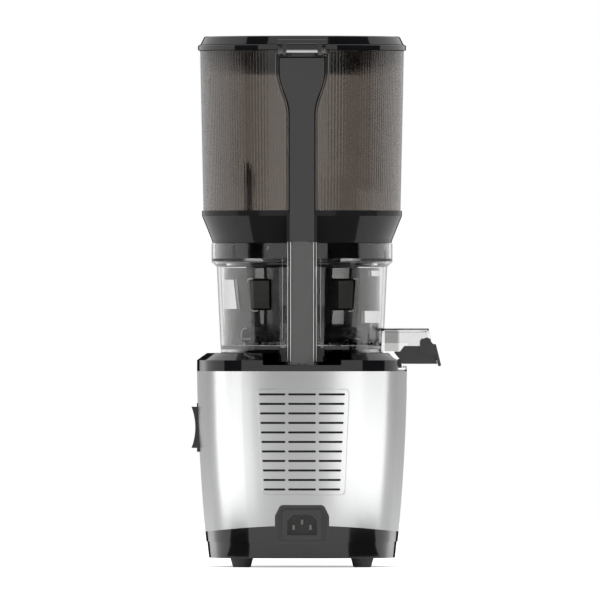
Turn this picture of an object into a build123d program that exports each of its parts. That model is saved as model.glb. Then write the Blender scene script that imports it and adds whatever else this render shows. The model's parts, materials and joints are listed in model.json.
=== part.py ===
from build123d import *
import math
import os

# An upright cold press juicer, in millimetres. It stands on Z = 0. The drum's axis is the Z axis,
# the machine's rear faces -Y and the juice spout points along +X.

# ---- clearances ----
REST_GAP = 0.3  # between a loose or moving piece and what it rests on
SKIN_GAP = 0.15  # between two skins that lie against each other
RUNNING = 0.05  # radial, a shaft or stem in its bore
BACKLASH = 0.5  # between the flanks of two gears, along the pitch circle
THROUGH = 200.0  # how far a cutting tool reaches, to pass right through

# ---- metal shell ----
SHELL_TOP = 162.9
SHELL_SIDE_FOOT = 29.4
SHELL_MID_FOOT = 34.9
SHELL_WALL = 1.5
TOP_HALF_WIDTH = 87.5
DEPTH_EXTRA = 7.5  # each half depth over the half width
SIDE_CROWN = 14.0  # how far each side bulges over its chord
CORNER_RADIUS = 42.0
TAPER_LINEAR = 1.05
TAPER_CURVED = 3.15

# ---- rear vents ----
VENT_ROWS = 11
VENT_TOP_ROW = 143.8
VENT_PITCH = 7.89
VENT_SLOT = 1.8
VENT_MID_HALF = 11.5
VENT_GAP = 2.3
VENT_TOP_HALF = 35.7
VENT_LOW_HALF = 31.7
LOUVRE_THICK = 2.0
LOUVRE_MARGIN = 7.0

# ---- base tray and feet ----
TRAY_BOTTOM = 7.6
TRAY_STEP = 21.0
TRAY_STEP_IN = 0.8
TRAY_WALL = 2.6
FOOT_SPREAD_X = 50.0
FOOT_SPREAD_Y = 56.0
FOOT_TOP_RADIUS = 9.5
FOOT_LOW_RADIUS = 7.6
FOOT_PEG_RADIUS = 3.0
FOOT_PEG_LENGTH = 5.0
POST_RADIUS = 5.0
SCREW_RADIUS = 1.8
SCREW_HEAD_RADIUS = 3.6
SCREW_HEAD_HEIGHT = 2.2
SCREW_LENGTH = 9.0
SCREW_SLOT = (5.0, 1.0, 1.6)
TRAY_SCREW_SUNK = 3.0

# ---- top cover ----
COVER_BAND = 9.1
COVER_BEVEL_RISE = 5.9
COVER_BEVEL_IN = 8.3
COVER_WALL = 3.0
COVER_SKIRT = 5.0
COVER_SKIRT_WALL = 2.0
RECESS_DEPTH = 9.9
NOTCH_HALF_WIDTH = 32.5
SPOUT_CUT_X = 79.4
SPOUT_CUT_HALF = 60.0
SPOUT_BEVEL = 7.2
LIP_HALF_WIDTH = 9.0
LIP_HEIGHT = 4.3
LIP_REACH = 3.8
SCOOP_Z = 154.2
SCOOP_RADII = (3.2, 8.0, 6.8)
STEP_HALF_WIDTH = 40.8
STEP_TOP = 172.6
STEP_FRONT = -50.0

# ---- mains inlet ----
INLET_HALF_WIDTH = 22.5
INLET_TOP_HALF = 18.0
INLET_TOP = 52.0
INLET_BOTTOM = 20.0
INLET_BODY_DEPTH = 22.0
SOCKET_CENTRE_Z = 35.4
SOCKET_FLANGE = (32.4, 25.3)
SOCKET_CAVITY = (24.6, 16.8)
SOCKET_CAVITY_DEPTH = 18.0
PIN_SPACING = 14.0
PIN_DROP = 2.0
EARTH_RISE = 2.4
PIN_SIZE = (4.0, 2.0)
PIN_LENGTH = 13.0

# ---- power switch ----
SWITCH_Z = 116.0
SWITCH_HEIGHT = 41.0
SWITCH_DEPTH = 24.0
SWITCH_FLANGE = 2.2
ROCKER_HEIGHT = 36.0
ROCKER_DEPTH = 18.0
ROCKER_PROUD = 4.6
ROCKER_END_GAP = 0.8
ROCKER_CORNER = 1.2
ROCKER_PIVOT_IN = 6.0

# ---- bowl ----
BOWL_BOTTOM_GAP = REST_GAP
BOWL_LOW_RADIUS = 67.2
BOWL_TOP_RADIUS = 71.0
BOWL_TAPER_TOP = 249.6
BOWL_WALL = 2.6
COLLAR_LOW = 253.8
COLLAR_TOP = 269.2
COLLAR_RADIUS = 75.4
BOWL_FLOOR_TOP = 184.0
BOWL_FLOOR = 3.0
STRAINER_SEAT = 251.6
STRAINER_SEAT_IN = 2.2
BAYONET_COUNT = 3
BAYONET_ANGLE = 245.9
BAYONET_Z = 265.4
BAYONET_RADIUS = 1.8
BAYONET_TURN = 26.0

# ---- rear channel and interlock rods ----
CHANNEL_HALF = 12.35
CHANNEL_WALL = 2.4
CHANNEL_REAR = 86.0
CHANNEL_TOP = 270.6
CHANNEL_JOINT = 62.0
ROD_REAR = 83.5
UPPER_ROD_THICK = 4.0
LOWER_ROD_THICK = 6.6
ROD_SIDE_GAP = 0.5
ROD_RIB = 2.5
ROD_TRAVEL = 3.0

# ---- gears in the bowl floor ----
FLOOR_MODULE = 2.0
AUGER_TEETH = 16
IDLER_TEETH = 14
FLOOR_GEAR_LOW = 185.2
FLOOR_GEAR_HIGH = 190.8
IDLER_PIN_RADIUS = 2.5
STEM_RADIUS = 9.5
SEAL_RADIUS = 13.0

# ---- strainer ----
STRAINER_TOP_RADIUS = 46.8
STRAINER_LOW_RADIUS = 41.0
STRAINER_FLOOR = 193.5
STRAINER_FLOOR_THICK = 2.5
STRAINER_WALL = 2.0
MESH_WALL = 0.6
FLANGE_THICK = 2.0
WINDOW_ANGLES = (-47, 0, 47, 133, 180, 227)
WINDOW_ROWS = ((202.0, 213.5, 8.0), (240.0, 248.8, 11.5))
PORT_HALF = 9.0
PORT_INNER = 30.0
PORT_OUTER = 38.8
PORT_WALL = 1.9

# ---- wiper ----
WIPER_RADIUS = 65.0
WIPER_WALL = 2.0
WIPER_TOP = 249.0
WIPER_FLOOR = 2.7
WIPER_HUB_RADIUS = 50.0
WIPER_HUB_TOP = 199.5
BLADE_THICK = 1.6
BLADE_ANGLES = (80, 260)
ARM_ANGLES = (62, 242)
ARM_REACH = 11.0
ARM_THICK = 3.0
WIPER_WINDOWS = (  # half angle, foot, top, middle's angle, narrowing towards the top
    (35.0, 214.6, 239.0, 180, 4.5),
    (29.0, 242.0, 246.5, 0, 0.0),
    (38.0, 203.0, 213.0, 0, 0.0),
    (4.5, 190.0, 203.5, -21.5, 0.0),
    (4.5, 190.0, 203.5, 21.5, 0.0),
)

# ---- auger ----
AUGER_LOW = 196.6
AUGER_CORE_LOW = 29.5
AUGER_CORE_HIGH = 17.0
AUGER_CORE_TOP = 262.0
AUGER_TIP = 278.0
AUGER_GAP = 0.7
FLIGHT_PITCH = 38.0
FLIGHT_THICK = 5.0
FLIGHT_STARTS = 2
FLIGHT_START_ANGLE = 37.0
SOCKET_RADIUS = 7.5
HEX_ACROSS = 10.0
HEX_GAP = 0.1

# ---- juice spout ----
DUCT_HALF = 15.0
DUCT_JOINT = 69.0
DUCT_WALL = 2.3
DUCT_TOP = 198.4
DUCT_BOTTOM = 183.8
DUCT_ROOT_BOTTOM = 179.4
DUCT_ROOT_END = 81.4
DUCT_END_TOP = 105.4
DUCT_SLOPE = 0.247  # outward lean of the end, per millimetre down
NOZZLE_HALF = 17.0
NOZZLE_BOTTOM = 168.9
NOZZLE_WALL = 2.4
CAP_PIVOT_X = 103.9
CAP_PIVOT_Z = 187.9
CAP_PIN_RADIUS = 1.6
CAP_BOSS_RADIUS = 2.9
CAP_THICK = 2.6
CAP_TOP = 185.4
CAP_TIP = 166.9
CAP_ARM = 1.8
CAP_ARM_LOW = 176.4
CAP_ARM_LEFT = 98.2

# ---- pulp outlet ----
CHUTE_HALF = 13.0
CHUTE_WALL = 2.0
CHUTE_END = 110.0
CHUTE_MOUTH = 13.0
CHUTE_DROP = 7.0
CHUTE_BOTTOM = 168.7
CHUTE_RISE = 6.0
CHUTE_SLANT = 10.0
PLUG_THICK = 1.6
PLUG_BACK = 9.0
CHUTE_START = 2.9

# ---- hopper base ----
BASE_SHOULDER = 269.5
BASE_SHOULDER_RADIUS = 74.6
BASE_CONE_LOW = 272.5
BASE_CONE_HIGH = 292.0
BASE_LIP_RADIUS = 83.3
BASE_LIP_TOP = 296.5
BASE_LIP_WALL = 0.9
NECK_GAP = 0.6
NECK_WALL = 2.8
THROAT_RADIUS = 47.0
THROAT_TOP = 272.0
THROAT_WALL = 2.6
FIN_X = -45.5
FIN_Y = -58.0
FIN_TOP = 338.0

# ---- hopper ----
HOPPER_SEAT = 293.0
HOPPER_LOW_RADIUS = 82.1
HOPPER_TOP_RADIUS = 85.0
HOPPER_TOP = 429.7
HOPPER_WALL = 2.4
SPINE_REAR = 86.6
SPINE_WALL = 2.3
SPINE_TOP = 422.9
SPINE_TOP_HALF = 18.5
SPINE_LOW_HALF = 10.2
SPINE_BEND_TOP = 412.0
SPINE_BEND_LOW = 376.0
SPINE_SEAT = 79.0
SPINE_FIT = 0.15
TROUGH_WALL = 2.0
RAIL_WIDTH = 2.4

# ---- lid and hinge ----
LID_BOTTOM = 430.0
LID_RIM_TOP = 434.2
LID_RIM_RADIUS = 86.7
LID_BODY_RADIUS = 85.0
LID_TOP_RADIUS = 81.7
LID_TOP = 441.5
LID_WALL = 2.4
DISH_RADIUS = 79.5
DISH_FLAT_RADIUS = 55.0
DISH_BOTTOM = 409.5
DISH_WALL = 2.2
HINGE_Y = -89.5
HINGE_Z = 428.6
HINGE_PIN_RADIUS = 1.7
KNUCKLE_RADIUS = 4.5
LID_EAR = (13.0, 16.4)
HOPPER_EAR = (16.6, 19.9)
LOBE_HALF = 5.0
LOBE_GAP = 0.6
TAB_HALF = 14.0
TAB_REACH = 3.4

# ---- gearbox ----
STAGE_MODULES = (1.25, 1.5, 1.75)
PINION_TEETH = 12
WHEEL_TEETH = 36
BOX_BOTTOM = 112.0
BOX_FLOOR = 3.0
BOX_WALL = 3.0
BOX_TOP = 153.0
BOX_COVER = 3.0
BOX_SCREWS = 6
BEARING_RADIUS = 14.0
BEARING_THICK = 5.0
SHAFT_RADIUS = 7.0
AXLE_RADIUS = 4.0
FIRST_WHEEL = (118.0, 125.0)
FIRST_PINION_TOP = 135.0
SECOND_WHEEL = (126.5, 134.0)
SECOND_PINION_TOP = 150.0
OUTPUT_WHEEL = (136.0, 149.0)
SHAFT_LOW = 134.5
SHAFT_SHOULDER = 169.0
HEX_TOP = 190.0
DRIVE_SEAL_RADIUS = 12.0

# ---- motor ----
CORE_RADIUS = 42.0
CORE_BORE = 24.5
CORE_LOW = 62.0
CORE_HIGH = 92.0
ROTOR_RADIUS = 24.0
MOTOR_SHAFT_RADIUS = 4.0
MOTOR_SHAFT_LOW = 34.0
SHIELD_LOW = 46.0
SHIELD_WALL = 2.5
COIL_RADII = (27.5, 35.0)
COIL_HEIGHT = 9.0
BOLT_CIRCLE = 39.0
BOLT_RADIUS = 2.0
MOTOR_BEARING_RADIUS = 9.0
MOTOR_BEARING_THICK = 7.0
FAN_RADIUS = 32.0
FAN_HUB_RADIUS = 9.0
FAN_LOW = 36.0
FAN_HIGH = 43.0
FAN_BLADES = 7

# ---- electrics ----
BOARD_X = -62.0
BOARD_THICK = 1.6
BOARD_HALF_Y = 28.0
BOARD_LOW = 44.0
BOARD_HIGH = 92.0
CAPACITOR_RADIUS = 8.0
CAPACITOR_LENGTH = 34.0
CAPACITOR_RISE = 34.0
COMPONENT_RISE = 9.0
TERMINAL_DEPTH = 8.0
TERMINAL_PITCH = 5.0
PLUNGER_Y = -80.2
PLUNGER_RADIUS = 3.0
PLUNGER_TOP = 169.7
PLUNGER_TIP = 148.0
PLUNGER_STEM_RADIUS = 2.2
PLUNGER_FLANGE = (158.0, 160.0)
PLUNGER_FLANGE_RADIUS = 5.0
SPRING_WIRE = 0.8
SPRING_RADIUS = 3.9
SPRING_COILS = 3
GUIDE_BOTTOM = 148.3
GUIDE_FLOOR = 1.7
GUIDE_RADIUS = 7.4
MICROSWITCH = (20.0, 6.4, 11.0)

STANDING = (Align.CENTER, Align.CENTER, Align.MIN)

# ---- values that follow from the ones above ----
COVER_TOP = SHELL_TOP + COVER_BAND + COVER_BEVEL_RISE
RECESS_FLOOR = COVER_TOP - RECESS_DEPTH
BOWL_BOTTOM = RECESS_FLOOR + BOWL_BOTTOM_GAP
RECESS_RADIUS = BOWL_LOW_RADIUS + 0.9
RING_TEETH = AUGER_TEETH + 2 * IDLER_TEETH
IDLER_X = FLOOR_MODULE * (AUGER_TEETH + IDLER_TEETH) / 2
NECK_RADIUS = COLLAR_RADIUS - BOWL_WALL - NECK_GAP
FLANGE_LOW = STRAINER_SEAT
NECK_LOW = FLANGE_LOW + FLANGE_THICK + REST_GAP
STAGE_REACH = [m * (PINION_TEETH + WHEEL_TEETH) / 2 for m in STAGE_MODULES]


# ---------------------------------------------------------------- plain shapes


def block(x, y, z):
    """A box between pairs of limits along X, Y and Z."""
    size = [high - low for low, high in (x, y, z)]
    corner = (Align.MIN, Align.MIN, Align.MIN)
    return Pos(x[0], y[0], z[0]) * Box(*size, align=corner)


def disc(radius, low, high, at=(0, 0)):
    """A cylinder that stands on the height low, round the point at."""
    return Pos(at[0], at[1], low) * Cylinder(radius, high - low, align=STANDING)


def ring(outer, inner, low, high, at=(0, 0)):
    """A plain ring between two heights."""
    return disc(outer, low, high, at) - disc(inner, low, high, at)


def turned(*outline):
    """A solid of revolution about Z, from (radius, height) points."""
    return revolve(Plane.XZ * make_face(Polyline(*outline, close=True)), Axis.Z)


def from_behind(face, rear, front):
    """A face drawn in X and Z, pushed through Y from rear to front."""
    return extrude(Plane.XZ.offset(-front) * face, front - rear)


def around(count, shape, start=0.0):
    """Copies of a shape, evenly spaced about Z."""
    return [Rot(0, 0, start + 360 * n / count) * shape for n in range(count)]


def polar(radius, degrees):
    """A point at a distance and an angle from the Z axis."""
    turn = math.radians(degrees)
    return radius * math.cos(turn), radius * math.sin(turn)


def between(low, high, share):
    """The value at a share of the way from low to high."""
    return low + (high - low) * share


# ---------------------------------------------------------------- gears


def roll(angle):
    """The involute of a pressure angle, in radians."""
    return math.tan(angle) - angle


def tooth_half_angle(module, teeth, radius):
    """Half the angle that a tooth fills at a radius, radial below the base circle."""
    pitch = module * teeth / 2
    base = pitch * math.cos(math.radians(20))
    here = math.acos(min(1.0, base / radius))
    at_pitch = math.pi / (2 * teeth) - BACKLASH / (4 * pitch)
    return at_pitch + roll(math.radians(20)) - roll(here)


def gear(module, teeth, low, high, at=(0, 0), tooth_at=0.0):
    """A spur gear with one tooth centred on the angle tooth_at, in degrees."""
    pitch = module * teeth / 2
    radii = [pitch - 1.2 * module, pitch, pitch + 0.85 * module]
    points = []
    for tooth in range(teeth):
        middle = math.radians(tooth_at) + 2 * math.pi * tooth / teeth
        flank = [(r, tooth_half_angle(module, teeth, r)) for r in radii]
        for side, part in ((-1, flank), (1, flank[::-1])):
            for radius, half in part:
                turn = middle + side * half
                points.append((radius * math.cos(turn), radius * math.sin(turn)))
    face = make_face(Polyline(*points, close=True))
    return Pos(at[0], at[1], low) * extrude(face, high - low)


def ring_gear_space(module, teeth, low, high, tooth_at):
    """The space inside a ring gear, which is cut out of the ring's blank."""
    pitch = module * teeth / 2
    root = pitch + 1.2 * module
    tip = pitch - 0.85 * module
    half_pitch = math.pi / (2 * teeth) - BACKLASH / (4 * pitch)
    slope = math.tan(math.radians(20))
    points = []
    for tooth in range(teeth):
        middle = math.radians(tooth_at) + 2 * math.pi * tooth / teeth
        wide = half_pitch + (root - pitch) * slope / pitch
        narrow = half_pitch - (pitch - tip) * slope / pitch
        corners = ((root, -wide), (tip, -narrow), (tip, narrow), (root, wide))
        for radius, turn in corners:
            points.append(
                (radius * math.cos(middle + turn), radius * math.sin(middle + turn))
            )
    face = make_face(Polyline(*points, close=True))
    return Pos(0, 0, low) * extrude(face, high - low)


# ---------------------------------------------------------------- metal shell


def half_width(z):
    """The body's half width, which narrows towards the foot ever faster."""
    drop = max(0.0, SHELL_TOP - z) / 100
    return TOP_HALF_WIDTH - TAPER_LINEAR * drop - TAPER_CURVED * drop**2


def plan_face(z, inset=0.0):
    """The body's plan at a height: four crowned sides with rounded corners."""
    half_x = half_width(z) - inset
    half_y = half_width(z) + DEPTH_EXTRA - inset
    in_x, in_y = half_x - SIDE_CROWN, half_y - SIDE_CROWN
    sides = [
        ThreePointArc((-in_x, -in_y), (0, -half_y), (in_x, -in_y)),
        ThreePointArc((in_x, -in_y), (half_x, 0), (in_x, in_y)),
        ThreePointArc((in_x, in_y), (0, half_y), (-in_x, in_y)),
        ThreePointArc((-in_x, in_y), (-half_x, 0), (-in_x, -in_y)),
    ]
    face = make_face(sides)
    return Pos(0, 0, z) * fillet(face.vertices(), CORNER_RADIUS - inset)


def body_loft(low, high, inset=0.0, sections=4):
    """The body's form between two heights."""
    heights = [between(low, high, n / (sections - 1)) for n in range(sections)]
    return loft([plan_face(z, inset) for z in heights])


def under_arch():
    """All that lies below the shell's arched lower edge."""
    wider = 1.2
    reach = wider * half_width(SHELL_SIDE_FOOT)
    low, side = -10.0, SHELL_MID_FOOT - wider**2 * (SHELL_MID_FOOT - SHELL_SIDE_FOOT)
    edge = [
        ThreePointArc((-reach, side), (0, SHELL_MID_FOOT), (reach, side)),
        Polyline(
            (reach, side), (THROUGH, side), (THROUGH, low), (-THROUGH, low),
            (-THROUGH, side), (-reach, side),
        ),
    ]
    return from_behind(make_face(edge), -THROUGH, THROUGH)


def inlet_arch(extra=0.0):
    """The mains inlet's arched outline, seen from behind."""
    low = INLET_BOTTOM - extra
    wide, narrow = INLET_HALF_WIDTH + extra, INLET_TOP_HALF + extra
    shoulder = INLET_TOP - 9.0
    face = make_face(
        Polyline(
            (-wide, low), (wide, low), (wide, shoulder),
            (narrow, INLET_TOP + extra), (-narrow, INLET_TOP + extra),
            (-wide, shoulder), close=True,
        )
    )
    upper = face.vertices().sort_by(Axis.Y)[2:]
    return fillet(upper, 4.0)


def vent_slots():
    """Three columns of slots, the outer ones shorter towards the foot."""
    slots = []
    for row in range(VENT_ROWS):
        z = VENT_TOP_ROW - VENT_PITCH * row
        outer = between(VENT_TOP_HALF, VENT_LOW_HALF, row / (VENT_ROWS - 1))
        inner = VENT_MID_HALF + VENT_GAP
        slots.append(Pos(0, z) * SlotOverall(2 * VENT_MID_HALF, VENT_SLOT))
        for side in (-1, 1):
            middle = side * (inner + outer) / 2
            slots.append(Pos(middle, z) * SlotOverall(outer - inner, VENT_SLOT))
    return from_behind(Sketch() + slots, -THROUGH, -THROUGH / 4)


def spout_lip():
    """A small inward-turned lip on the shell's top edge, under the juice spout."""
    reach, top, wall = half_width(SHELL_TOP), SHELL_TOP + LIP_HEIGHT, SHELL_WALL
    outline = Polyline(
        (reach - wall, SHELL_TOP - 1), (reach, SHELL_TOP - 1), (reach, top),
        (reach - LIP_REACH, top), (reach - LIP_REACH, top - wall), (reach - wall, top - wall),
        close=True,
    )
    lip = from_behind(make_face(outline), -LIP_HALF_WIDTH, LIP_HALF_WIDTH)
    return lip & body_loft(SHELL_TOP - 2, top + 1, 0.0, 2)


def spout_scoop():
    """The small dished hollow in the shell's side, below the lip."""
    deep, wide, tall = SCOOP_RADII
    at = Pos(half_width(SCOOP_Z), 0, SCOOP_Z)
    hollow = at * scale(Sphere(1), (deep, wide, tall))
    skin = at * scale(Sphere(1), (deep + SHELL_WALL, wide + SHELL_WALL, tall + SHELL_WALL))
    inside = body_loft(SCOOP_Z - 2 * tall, SCOOP_Z + 2 * tall, SHELL_WALL / 2, 2)
    return skin & inside, hollow


def body_shell():
    """The metal wrap, open above and below."""
    foot, top = SHELL_SIDE_FOOT - 2, SHELL_TOP
    shell = body_loft(foot, top) - body_loft(foot - 1, top + 1, SHELL_WALL)
    shell -= under_arch()
    shell -= vent_slots()
    shell -= from_behind(inlet_arch(), -THROUGH, -THROUGH / 4)
    shell -= switch_opening()
    dish, hollow = spout_scoop()
    return shell + spout_lip() + dish - hollow


def vent_louvre():
    """The black insert behind the slots, with its own slots between theirs."""
    low = VENT_TOP_ROW - VENT_PITCH * (VENT_ROWS - 1) - LOUVRE_MARGIN
    high = VENT_TOP_ROW + LOUVRE_MARGIN
    half = VENT_TOP_HALF + LOUVRE_MARGIN
    skin = SHELL_WALL + SKIN_GAP
    wall = body_loft(low, high, skin) - body_loft(low - 1, high + 1, skin + LOUVRE_THICK)
    panel = wall & block((-half, half), (-THROUGH, -THROUGH / 4), (low, high))
    slots = [
        Pos(0, VENT_TOP_ROW - VENT_PITCH * (row + 0.5))
        * SlotOverall(2 * VENT_LOW_HALF, VENT_SLOT)
        for row in range(VENT_ROWS - 1)
    ]
    return panel - from_behind(Sketch() + slots, -THROUGH, -THROUGH / 4)


# ---------------------------------------------------------------- base tray and feet


def feet_places():
    """The four feet, in plan."""
    return [
        (x, y)
        for x in (-FOOT_SPREAD_X, FOOT_SPREAD_X)
        for y in (-FOOT_SPREAD_Y, FOOT_SPREAD_Y)
    ]


def post_places():
    """The tray's four screw posts, in plan, between the feet."""
    return [polar(72.0, angle) for angle in (20, 160, 200, 340)]


def base_tray():
    """The black lower tray, with a step round its foot and posts inside."""
    low_part = body_loft(TRAY_BOTTOM, TRAY_STEP, TRAY_STEP_IN, 3)
    tray = low_part + body_loft(TRAY_STEP, SHELL_MID_FOOT + 1, 0.0, 3)
    tray &= under_arch()
    tray -= body_loft(TRAY_BOTTOM + TRAY_WALL, SHELL_MID_FOOT + 3, TRAY_WALL, 3)
    tray -= from_behind(inlet_arch(), -THROUGH, -THROUGH / 4)
    tongue = body_loft(TRAY_STEP, SHELL_SIDE_FOOT + 4, SHELL_WALL + REST_GAP, 3)
    tongue -= body_loft(TRAY_STEP - 1, SHELL_SIDE_FOOT + 5, TRAY_WALL + 1.2, 3)
    tongue -= from_behind(inlet_arch(REST_GAP), -THROUGH, -THROUGH / 4)
    tray += tongue
    for place in post_places():
        tray += disc(POST_RADIUS, TRAY_BOTTOM, TRAY_BOTTOM + 14, place)
        seat = TRAY_BOTTOM + TRAY_SCREW_SUNK
        tray -= disc(SCREW_HEAD_RADIUS + REST_GAP, 0, seat, place)
        tray -= disc(SCREW_RADIUS, 0, seat + SCREW_LENGTH, place)
    for place in feet_places():
        tray -= disc(FOOT_PEG_RADIUS, 0, TRAY_BOTTOM + FOOT_PEG_LENGTH, place)
    for side in (-1, 1):
        tray += board_post(side)
    return tray


def board_post(side):
    """A post on the tray floor that grips the circuit board's lower edge."""
    y = side * BOARD_HALF_Y / 2
    post = block(
        (BOARD_X - 3, BOARD_X + 4), (y - 3, y + 3), (TRAY_BOTTOM + 1, BOARD_LOW + 6)
    )
    slot = block(
        (BOARD_X, BOARD_X + BOARD_THICK), (y - 4, y + 4), (BOARD_LOW, BOARD_LOW + 7)
    )
    return post - slot


def rubber_feet():
    """Four tapered feet, each pressed into the tray by a peg."""
    foot = turned(
        (0, 0), (FOOT_LOW_RADIUS - 0.8, 0), (FOOT_LOW_RADIUS, 0.8),
        (FOOT_TOP_RADIUS, TRAY_BOTTOM), (FOOT_PEG_RADIUS, TRAY_BOTTOM),
        (FOOT_PEG_RADIUS, TRAY_BOTTOM + FOOT_PEG_LENGTH),
        (0, TRAY_BOTTOM + FOOT_PEG_LENGTH),
    )
    return [Pos(x, y, 0) * foot for x, y in feet_places()]


def screw(place, seat, up):
    """A pan-headed screw whose head lies on the height seat, its shank upwards or not."""
    form = disc(SCREW_HEAD_RADIUS, -SCREW_HEAD_HEIGHT, 0) + disc(SCREW_RADIUS, -1, SCREW_LENGTH)
    form -= Pos(0, 0, -SCREW_HEAD_HEIGHT) * Box(*SCREW_SLOT)
    turn = Rot(0, 0, 0) if up else Rot(180, 0, 0)
    return Pos(place[0], place[1], seat) * turn * form


def case_screws():
    """All the screws of one kind: under the tray, in the gearbox's lid and in its hangers."""
    tray = [screw(place, TRAY_BOTTOM + TRAY_SCREW_SUNK, True) for place in post_places()]
    box = [screw(place, BOX_TOP + BOX_COVER, False) for place in screw_places()]
    return tray + box + [screw(place, BOX_TOP, True) for place in boss_places()]


# ---------------------------------------------------------------- top cover


def cover_form():
    """The top cover's outer form: an upright band, a bevel and a flat top."""
    band = body_loft(SHELL_TOP, SHELL_TOP + COVER_BAND, 0.0, 2)
    low, high = SHELL_TOP + COVER_BAND, COVER_TOP
    bevel = loft([plan_face(low), plan_face(high, COVER_BEVEL_IN)], ruled=True)
    return band + bevel


def spout_cut():
    """The cut in the cover's +X side that leaves room for the spout, bevelled above."""
    bevel_low = COVER_TOP - COVER_BEVEL_RISE
    face = make_face(
        Polyline(
            (SPOUT_CUT_X - SPOUT_BEVEL, COVER_TOP + 1), (SPOUT_CUT_X - SPOUT_BEVEL, COVER_TOP),
            (SPOUT_CUT_X - 1, bevel_low), (SPOUT_CUT_X, SHELL_TOP + 1),
            (THROUGH, SHELL_TOP + 1), (THROUGH, COVER_TOP + 1), close=True,
        )
    )
    return from_behind(face, -SPOUT_CUT_HALF, SPOUT_CUT_HALF)


def top_cover():
    """The gloss cover: bowl recess, rear notch, spout cut, chute cut and bosses."""
    bottom = SHELL_TOP - COVER_SKIRT
    floor_low = RECESS_FLOOR - COVER_WALL
    skin = SHELL_WALL + SKIN_GAP
    cover = cover_form() + body_loft(bottom, SHELL_TOP, skin, 2)
    cover -= body_loft(bottom - 1, floor_low, skin + COVER_SKIRT_WALL, 2)
    hollow = body_loft(floor_low - 1, COVER_TOP - COVER_WALL, COVER_BEVEL_IN, 2)
    hollow -= disc(RECESS_RADIUS + COVER_WALL, floor_low - 2, COVER_TOP)
    keep = NOTCH_HALF_WIDTH + COVER_WALL
    hollow -= block((-keep, keep), (-THROUGH, 0), (0, THROUGH))
    keep = CHUTE_HALF + 2 * COVER_WALL
    hollow -= block((-keep, keep), (0, THROUGH), (0, THROUGH))
    keep = SPOUT_CUT_HALF + COVER_WALL
    hollow -= block((60, THROUGH), (-keep, keep), (0, THROUGH))
    cover -= hollow
    cover -= disc(RECESS_RADIUS, RECESS_FLOOR, COVER_TOP + 1)
    half = NOTCH_HALF_WIDTH
    cover -= block((-half, half), (-THROUGH, 0), (RECESS_FLOOR, COVER_TOP + 1))
    half = CHUTE_HALF + 2 * REST_GAP
    cover -= block((-half, half), (0, THROUGH), (RECESS_FLOOR, COVER_TOP + 1))
    cover -= spout_cut()
    lip = LIP_HALF_WIDTH + REST_GAP
    inner = half_width(SHELL_TOP) - LIP_REACH - REST_GAP
    cover -= block((inner, THROUGH), (-lip, lip), (SHELL_TOP - 1, COVER_TOP))
    notch = SCOOP_RADII[1] + SHELL_WALL + REST_GAP
    cover -= block((RECESS_RADIUS, THROUGH), (-notch, notch), (0, SHELL_TOP))
    half = STEP_HALF_WIDTH
    cover -= block((0, half), (-THROUGH, STEP_FRONT), (STEP_TOP, COVER_TOP + 1))
    return cover + cover_bosses() - cover_holes()


def boss_places():
    """Where the gearbox hangs from the cover, in plan."""
    x, y = gearbox_centre()
    return [
        (x + dx, y + dy)
        for dx, dy in (polar(box_radius() + BOX_WALL + 4, a) for a in (45, 135, 225, 315))
    ]


def cover_bosses():
    """Four gearbox bosses and the plunger's guide under the cover's floor."""
    floor_low = RECESS_FLOOR - COVER_WALL
    bosses = Part()
    for place in boss_places():
        bosses += disc(POST_RADIUS, BOX_TOP + BOX_COVER, floor_low + 1, place)
    at = (0, PLUNGER_Y)
    bosses += disc(GUIDE_RADIUS, GUIDE_BOTTOM, floor_low + 1, at)
    length, depth, height = MICROSWITCH
    for side in (-1, 1):
        x = sorted((side * length / 2, side * (length / 2 + 2)))
        low = GUIDE_BOTTOM - height
        bosses += block(x, (PLUNGER_Y - 4, PLUNGER_Y + 4), (low, floor_low + 1))
    return bosses


def cover_holes():
    """The shaft's hole, the plunger's stepped bore and the boss screw holes."""
    at = (0, PLUNGER_Y)
    flange_room = PLUNGER_FLANGE_RADIUS + REST_GAP
    holes = disc(DRIVE_SEAL_RADIUS, 0, THROUGH)
    holes += disc(PLUNGER_RADIUS + RUNNING, 0, THROUGH, at)
    holes -= disc(PLUNGER_RADIUS + 1, 0, GUIDE_BOTTOM + GUIDE_FLOOR, at)
    holes += disc(PLUNGER_STEM_RADIUS + RUNNING, 0, THROUGH, at)
    bore_top = PLUNGER_FLANGE[1] + ROD_TRAVEL + REST_GAP
    holes += disc(flange_room, GUIDE_BOTTOM + GUIDE_FLOOR, bore_top, at)
    for place in boss_places():
        holes += disc(SCREW_RADIUS, 0, BOX_TOP + SCREW_LENGTH + 1, place)
    return holes


# ---------------------------------------------------------------- mains inlet


def rear_at(z):
    """How far behind the axis the body's rear stands at a height."""
    return half_width(z) + DEPTH_EXTRA


def inlet_bezel():
    """The arched black surround that fills the shell's arch and carries the socket."""
    rear = rear_at(SOCKET_CENTRE_Z)
    bezel = from_behind(inlet_arch(), -rear - 1.0, -rear + 8)
    rim = from_behind(inlet_arch(-2.2), -rear - 2, -rear + 0.6)
    width, height = SOCKET_FLANGE
    hole = from_behind(
        Pos(0, SOCKET_CENTRE_Z) * RectangleRounded(width - 3, height - 3, 2),
        -rear - 2, -rear + 10,
    )
    return bezel - rim - hole


def socket_outline(width, height):
    """The inlet's cavity outline: a rectangle with two cut upper corners."""
    half, rise = width / 2, height / 2
    cut = height * 0.3
    outline = Polyline(
        (-half, -rise), (half, -rise), (half, rise - cut), (half - cut, rise),
        (cut - half, rise), (-half, rise - cut), close=True,
    )
    return Pos(0, SOCKET_CENTRE_Z) * make_face(outline)


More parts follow.
